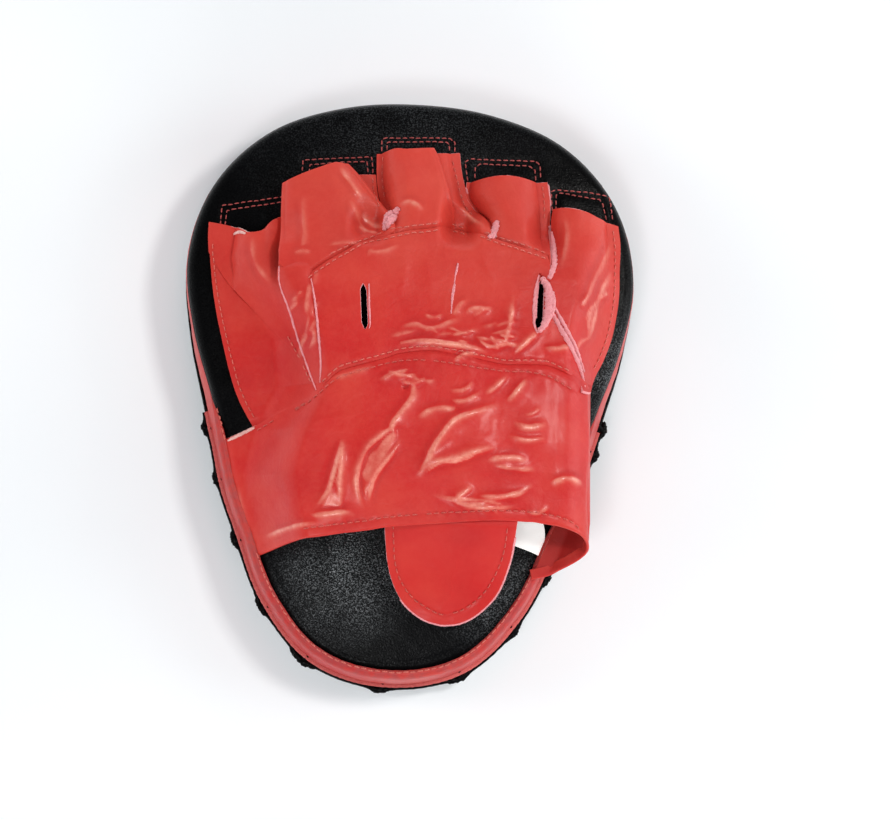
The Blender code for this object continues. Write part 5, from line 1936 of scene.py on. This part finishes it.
# Pale raw leather at the cut edges of the glove: radius, seed, lift | line.
RAW_RUNS = """
    1.9 1 0.5 | -6.6 79.2, -8 77, -9.8 73.5, -11.4 69.6;
    1.5 2 0.8 | -8.6 77.6, -10.8 75.6, -11.6 71.8, -12 68.6;
    1.6 3 0.5 | 36.6 75.8, 35.6 72, 34.6 69, 32.6 67.4;
    1.6 4 0.3 | 60.2 77.5, 61 71, 61.8 64, 61.4 57, 59.6 50.6;
    1 8 0.6 | 61.2 74, 62.4 66, 62 58;
    1.1 5 0.1 | 59.4 39.5, 64 31.5, 70.2 21.5, 75.2 12.5, 77.4 5;
    0.8 9 0.3 | 61.2 40.5, 66.4 31.5, 72.6 21, 77 12;
    0.55 6 0 | -57.2 50, -56.4 42, -51.8 31.5, -46.9 18, -42 6, -38.2 -3.2;
    0.5 7 0.1 | -43 45, -40.6 34, -38.6 22, -36.9 10, -36.6 0;
    0.62 10 0.1 | 19.9 55.2, 18.9 48, 18.1 40, 18 32.8;
    0.7 11 0.2 | 54.9 49, 54.4 44, 54.2 38, 54.6 32, 56 28;
    1.9 12 0.5 | 56.4 51, 59.2 46.6, 60 39, 58.8 31.6, 55.8 27;
    1.2 32 0.6 | 58.6 48, 61.2 43.6, 61.4 37, 59.6 31;
    0.7 33 0.2 | 55.2 52, 54 46, 53.6 38, 54 30, 55.6 26.4;
    0.45 13 0.1 | -20.9 43.6, -20.6 36, -19.6 27, -18.9 24.2;
    0.4 14 0.1 | -18 44, -17.4 35, -16.6 27, -16.9 24.4;
    0.42 15 0.1 | 19.4 106.5, 20.6 99, 23.2 89.5;
    0.42 16 0.1 | 58.6 96, 59.8 90, 60.3 85"""
cords = Cords()
caster = Caster(*glove)
for sizes, line in table(RAW_RUNS):
    cords.raw_run(*sizes, line, caster)
place(cords.build("raw_edge_fibres", RAW))

# Palest edges: the top corner of the cuff and the mouth of the thumb sleeve.
cords = Cords()
cuff_corner = as_points("-76.2 -24.9, -73 -23.2, -69 -21, -64.8 -18.8")
cords.raw_run(0.75, 21, 0, cuff_corner, Caster(cuff_thumb))
thumb_mouth = as_points("-79 66.2, -76 66.6, -73.2 65.6")
cords.raw_run(0.7, 22, 0.1, thumb_mouth, Caster(glove[0]))
place(cords.build("raw_edge_pale", RAW_PALE))

# ------------------------------------------------------------------ floor, light, camera
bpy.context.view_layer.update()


def make_floor():
    """A pale sheet with the faintest folds, wide enough to fill every view."""
    count = 160
    half_width = 2600
    t = np.linspace(-1, 1, count)
    line = np.sign(t) * np.abs(t) ** 1.7 * half_width
    x, y = np.meshgrid(line, line)
    away = smooth((np.hypot(x, y) - 150) / 160)
    z = np.minimum(-1.4 + (4 * clouds(x, y, 260, 161, 2) - 2) * away, -1.2)
    index = np.arange(count * count).reshape(count, count)
    corners = index[:-1, :-1], index[:-1, 1:], index[1:, 1:], index[1:, :-1]
    faces = np.stack(corners, -1).reshape(-1, 4)
    verts = np.stack([x, y, z], -1).reshape(-1, 3)
    return new_object("floor_sheet", verts, faces, [FLOOR], sharp=None)


make_floor()

# Position along the sky's ramp, colour.
SKY = ((0, (1, 1, 1.02, 1)), (0.5, (0.42, 0.43, 0.45, 1)), (1, (0.02, 0.02, 0.022, 1)))


def make_world():
    world = bpy.data.worlds.new("studio")
    bpy.context.scene.world = world
    world.use_nodes = True
    tree = world.node_tree
    background = tree.nodes["Background"]
    coord = tree.nodes.new("ShaderNodeTexCoord")
    separate = tree.nodes.new("ShaderNodeSeparateXYZ")
    tree.links.new(coord.outputs["Generated"], separate.inputs[0])
    ramp = tree.nodes.new("ShaderNodeValToRGB")
    tree.links.new(separate.outputs["Z"], ramp.inputs["Fac"])
    ramp.color_ramp.elements.new(0.5)
    for element, (position, colour) in zip(ramp.color_ramp.elements, SKY):
        element.position = position
        element.color = colour
    tree.links.new(ramp.outputs["Color"], background.inputs["Color"])
    background.inputs["Strength"].default_value = 0.80


def area(name, location, size, power, colour=(1, 1, 1)):
    """A rectangular lamp aimed at the middle of the mitt."""
    data = bpy.data.lights.new(name, "AREA")
    data.shape = "RECTANGLE"
    data.size, data.size_y = size
    data.energy = power
    data.color = colour
    lamp = bpy.data.objects.new(name, data)
    lamp.location = location
    direction = Vector((0, 0, 0.05)) - Vector(location)
    lamp.rotation_euler = direction.to_track_quat("-Z", "Y").to_euler()
    bpy.context.scene.collection.objects.link(lamp)
    return lamp


make_world()
area("key", location=(0.52, 0.22, 1.12), size=(0.18, 0.18), power=4.65, colour=(1, 0.98, 0.95))
area("front_left", location=(-0.17, -0.42, 1.12), size=(0.26, 0.26), power=2.9,
     colour=(0.98, 0.99, 1))
# Fill lamps: name, location, size, power.
for fill_name, location, size, power in (
    ("side_right", (1.2, 0.1, 0.50), (0.5, 0.9), 5.6),
    ("side_left", (-1.2, 0.1, 0.50), (0.5, 0.9), 5.6),
    ("low_front", (0.25, -1.1, 0.42), (0.9, 0.3), 4.6),
    ("low_back", (0.0, 1.2, 0.42), (0.9, 0.3), 3.4),
):
    area(fill_name, location, size, power).visible_glossy = fill_name == "side_right"


def make_camera():
    """Looks down on the mitt, slightly tilted and rolled."""
    data = bpy.data.cameras.new("camera")
    camera = bpy.data.objects.new("camera", data)
    bpy.context.scene.collection.objects.link(camera)
    bpy.context.scene.camera = camera
    centre, distance = Vector((0, 0, 0.03)), 1.15
    tilt_x, tilt_y, roll = (math.radians(angle) for angle in (0.6, 5.3, 3.0))
    view = Vector((-math.tan(tilt_x), -math.tan(tilt_y), 1)).normalized()
    right = (-view).cross(Vector((0, 1, 0))).normalized()
    upward = right.cross(-view)
    rolled_right = right * math.cos(roll) + upward * math.sin(roll)
    rolled_up = -right * math.sin(roll) + upward * math.cos(roll)
    turn = Matrix((rolled_right, rolled_up, view)).transposed().to_4x4()
    camera.matrix_world = Matrix.Translation(centre + view * distance) @ turn
    data.sensor_width = 36
    data.lens = 104.8
    data.shift_x = 0.0461
    data.shift_y = -0.0135
    data.clip_start = 0.05
    data.clip_end = 30


make_camera()
bpy.context.scene.view_settings.view_transform = "Standard"
bpy.context.scene.view_settings.look = "None"
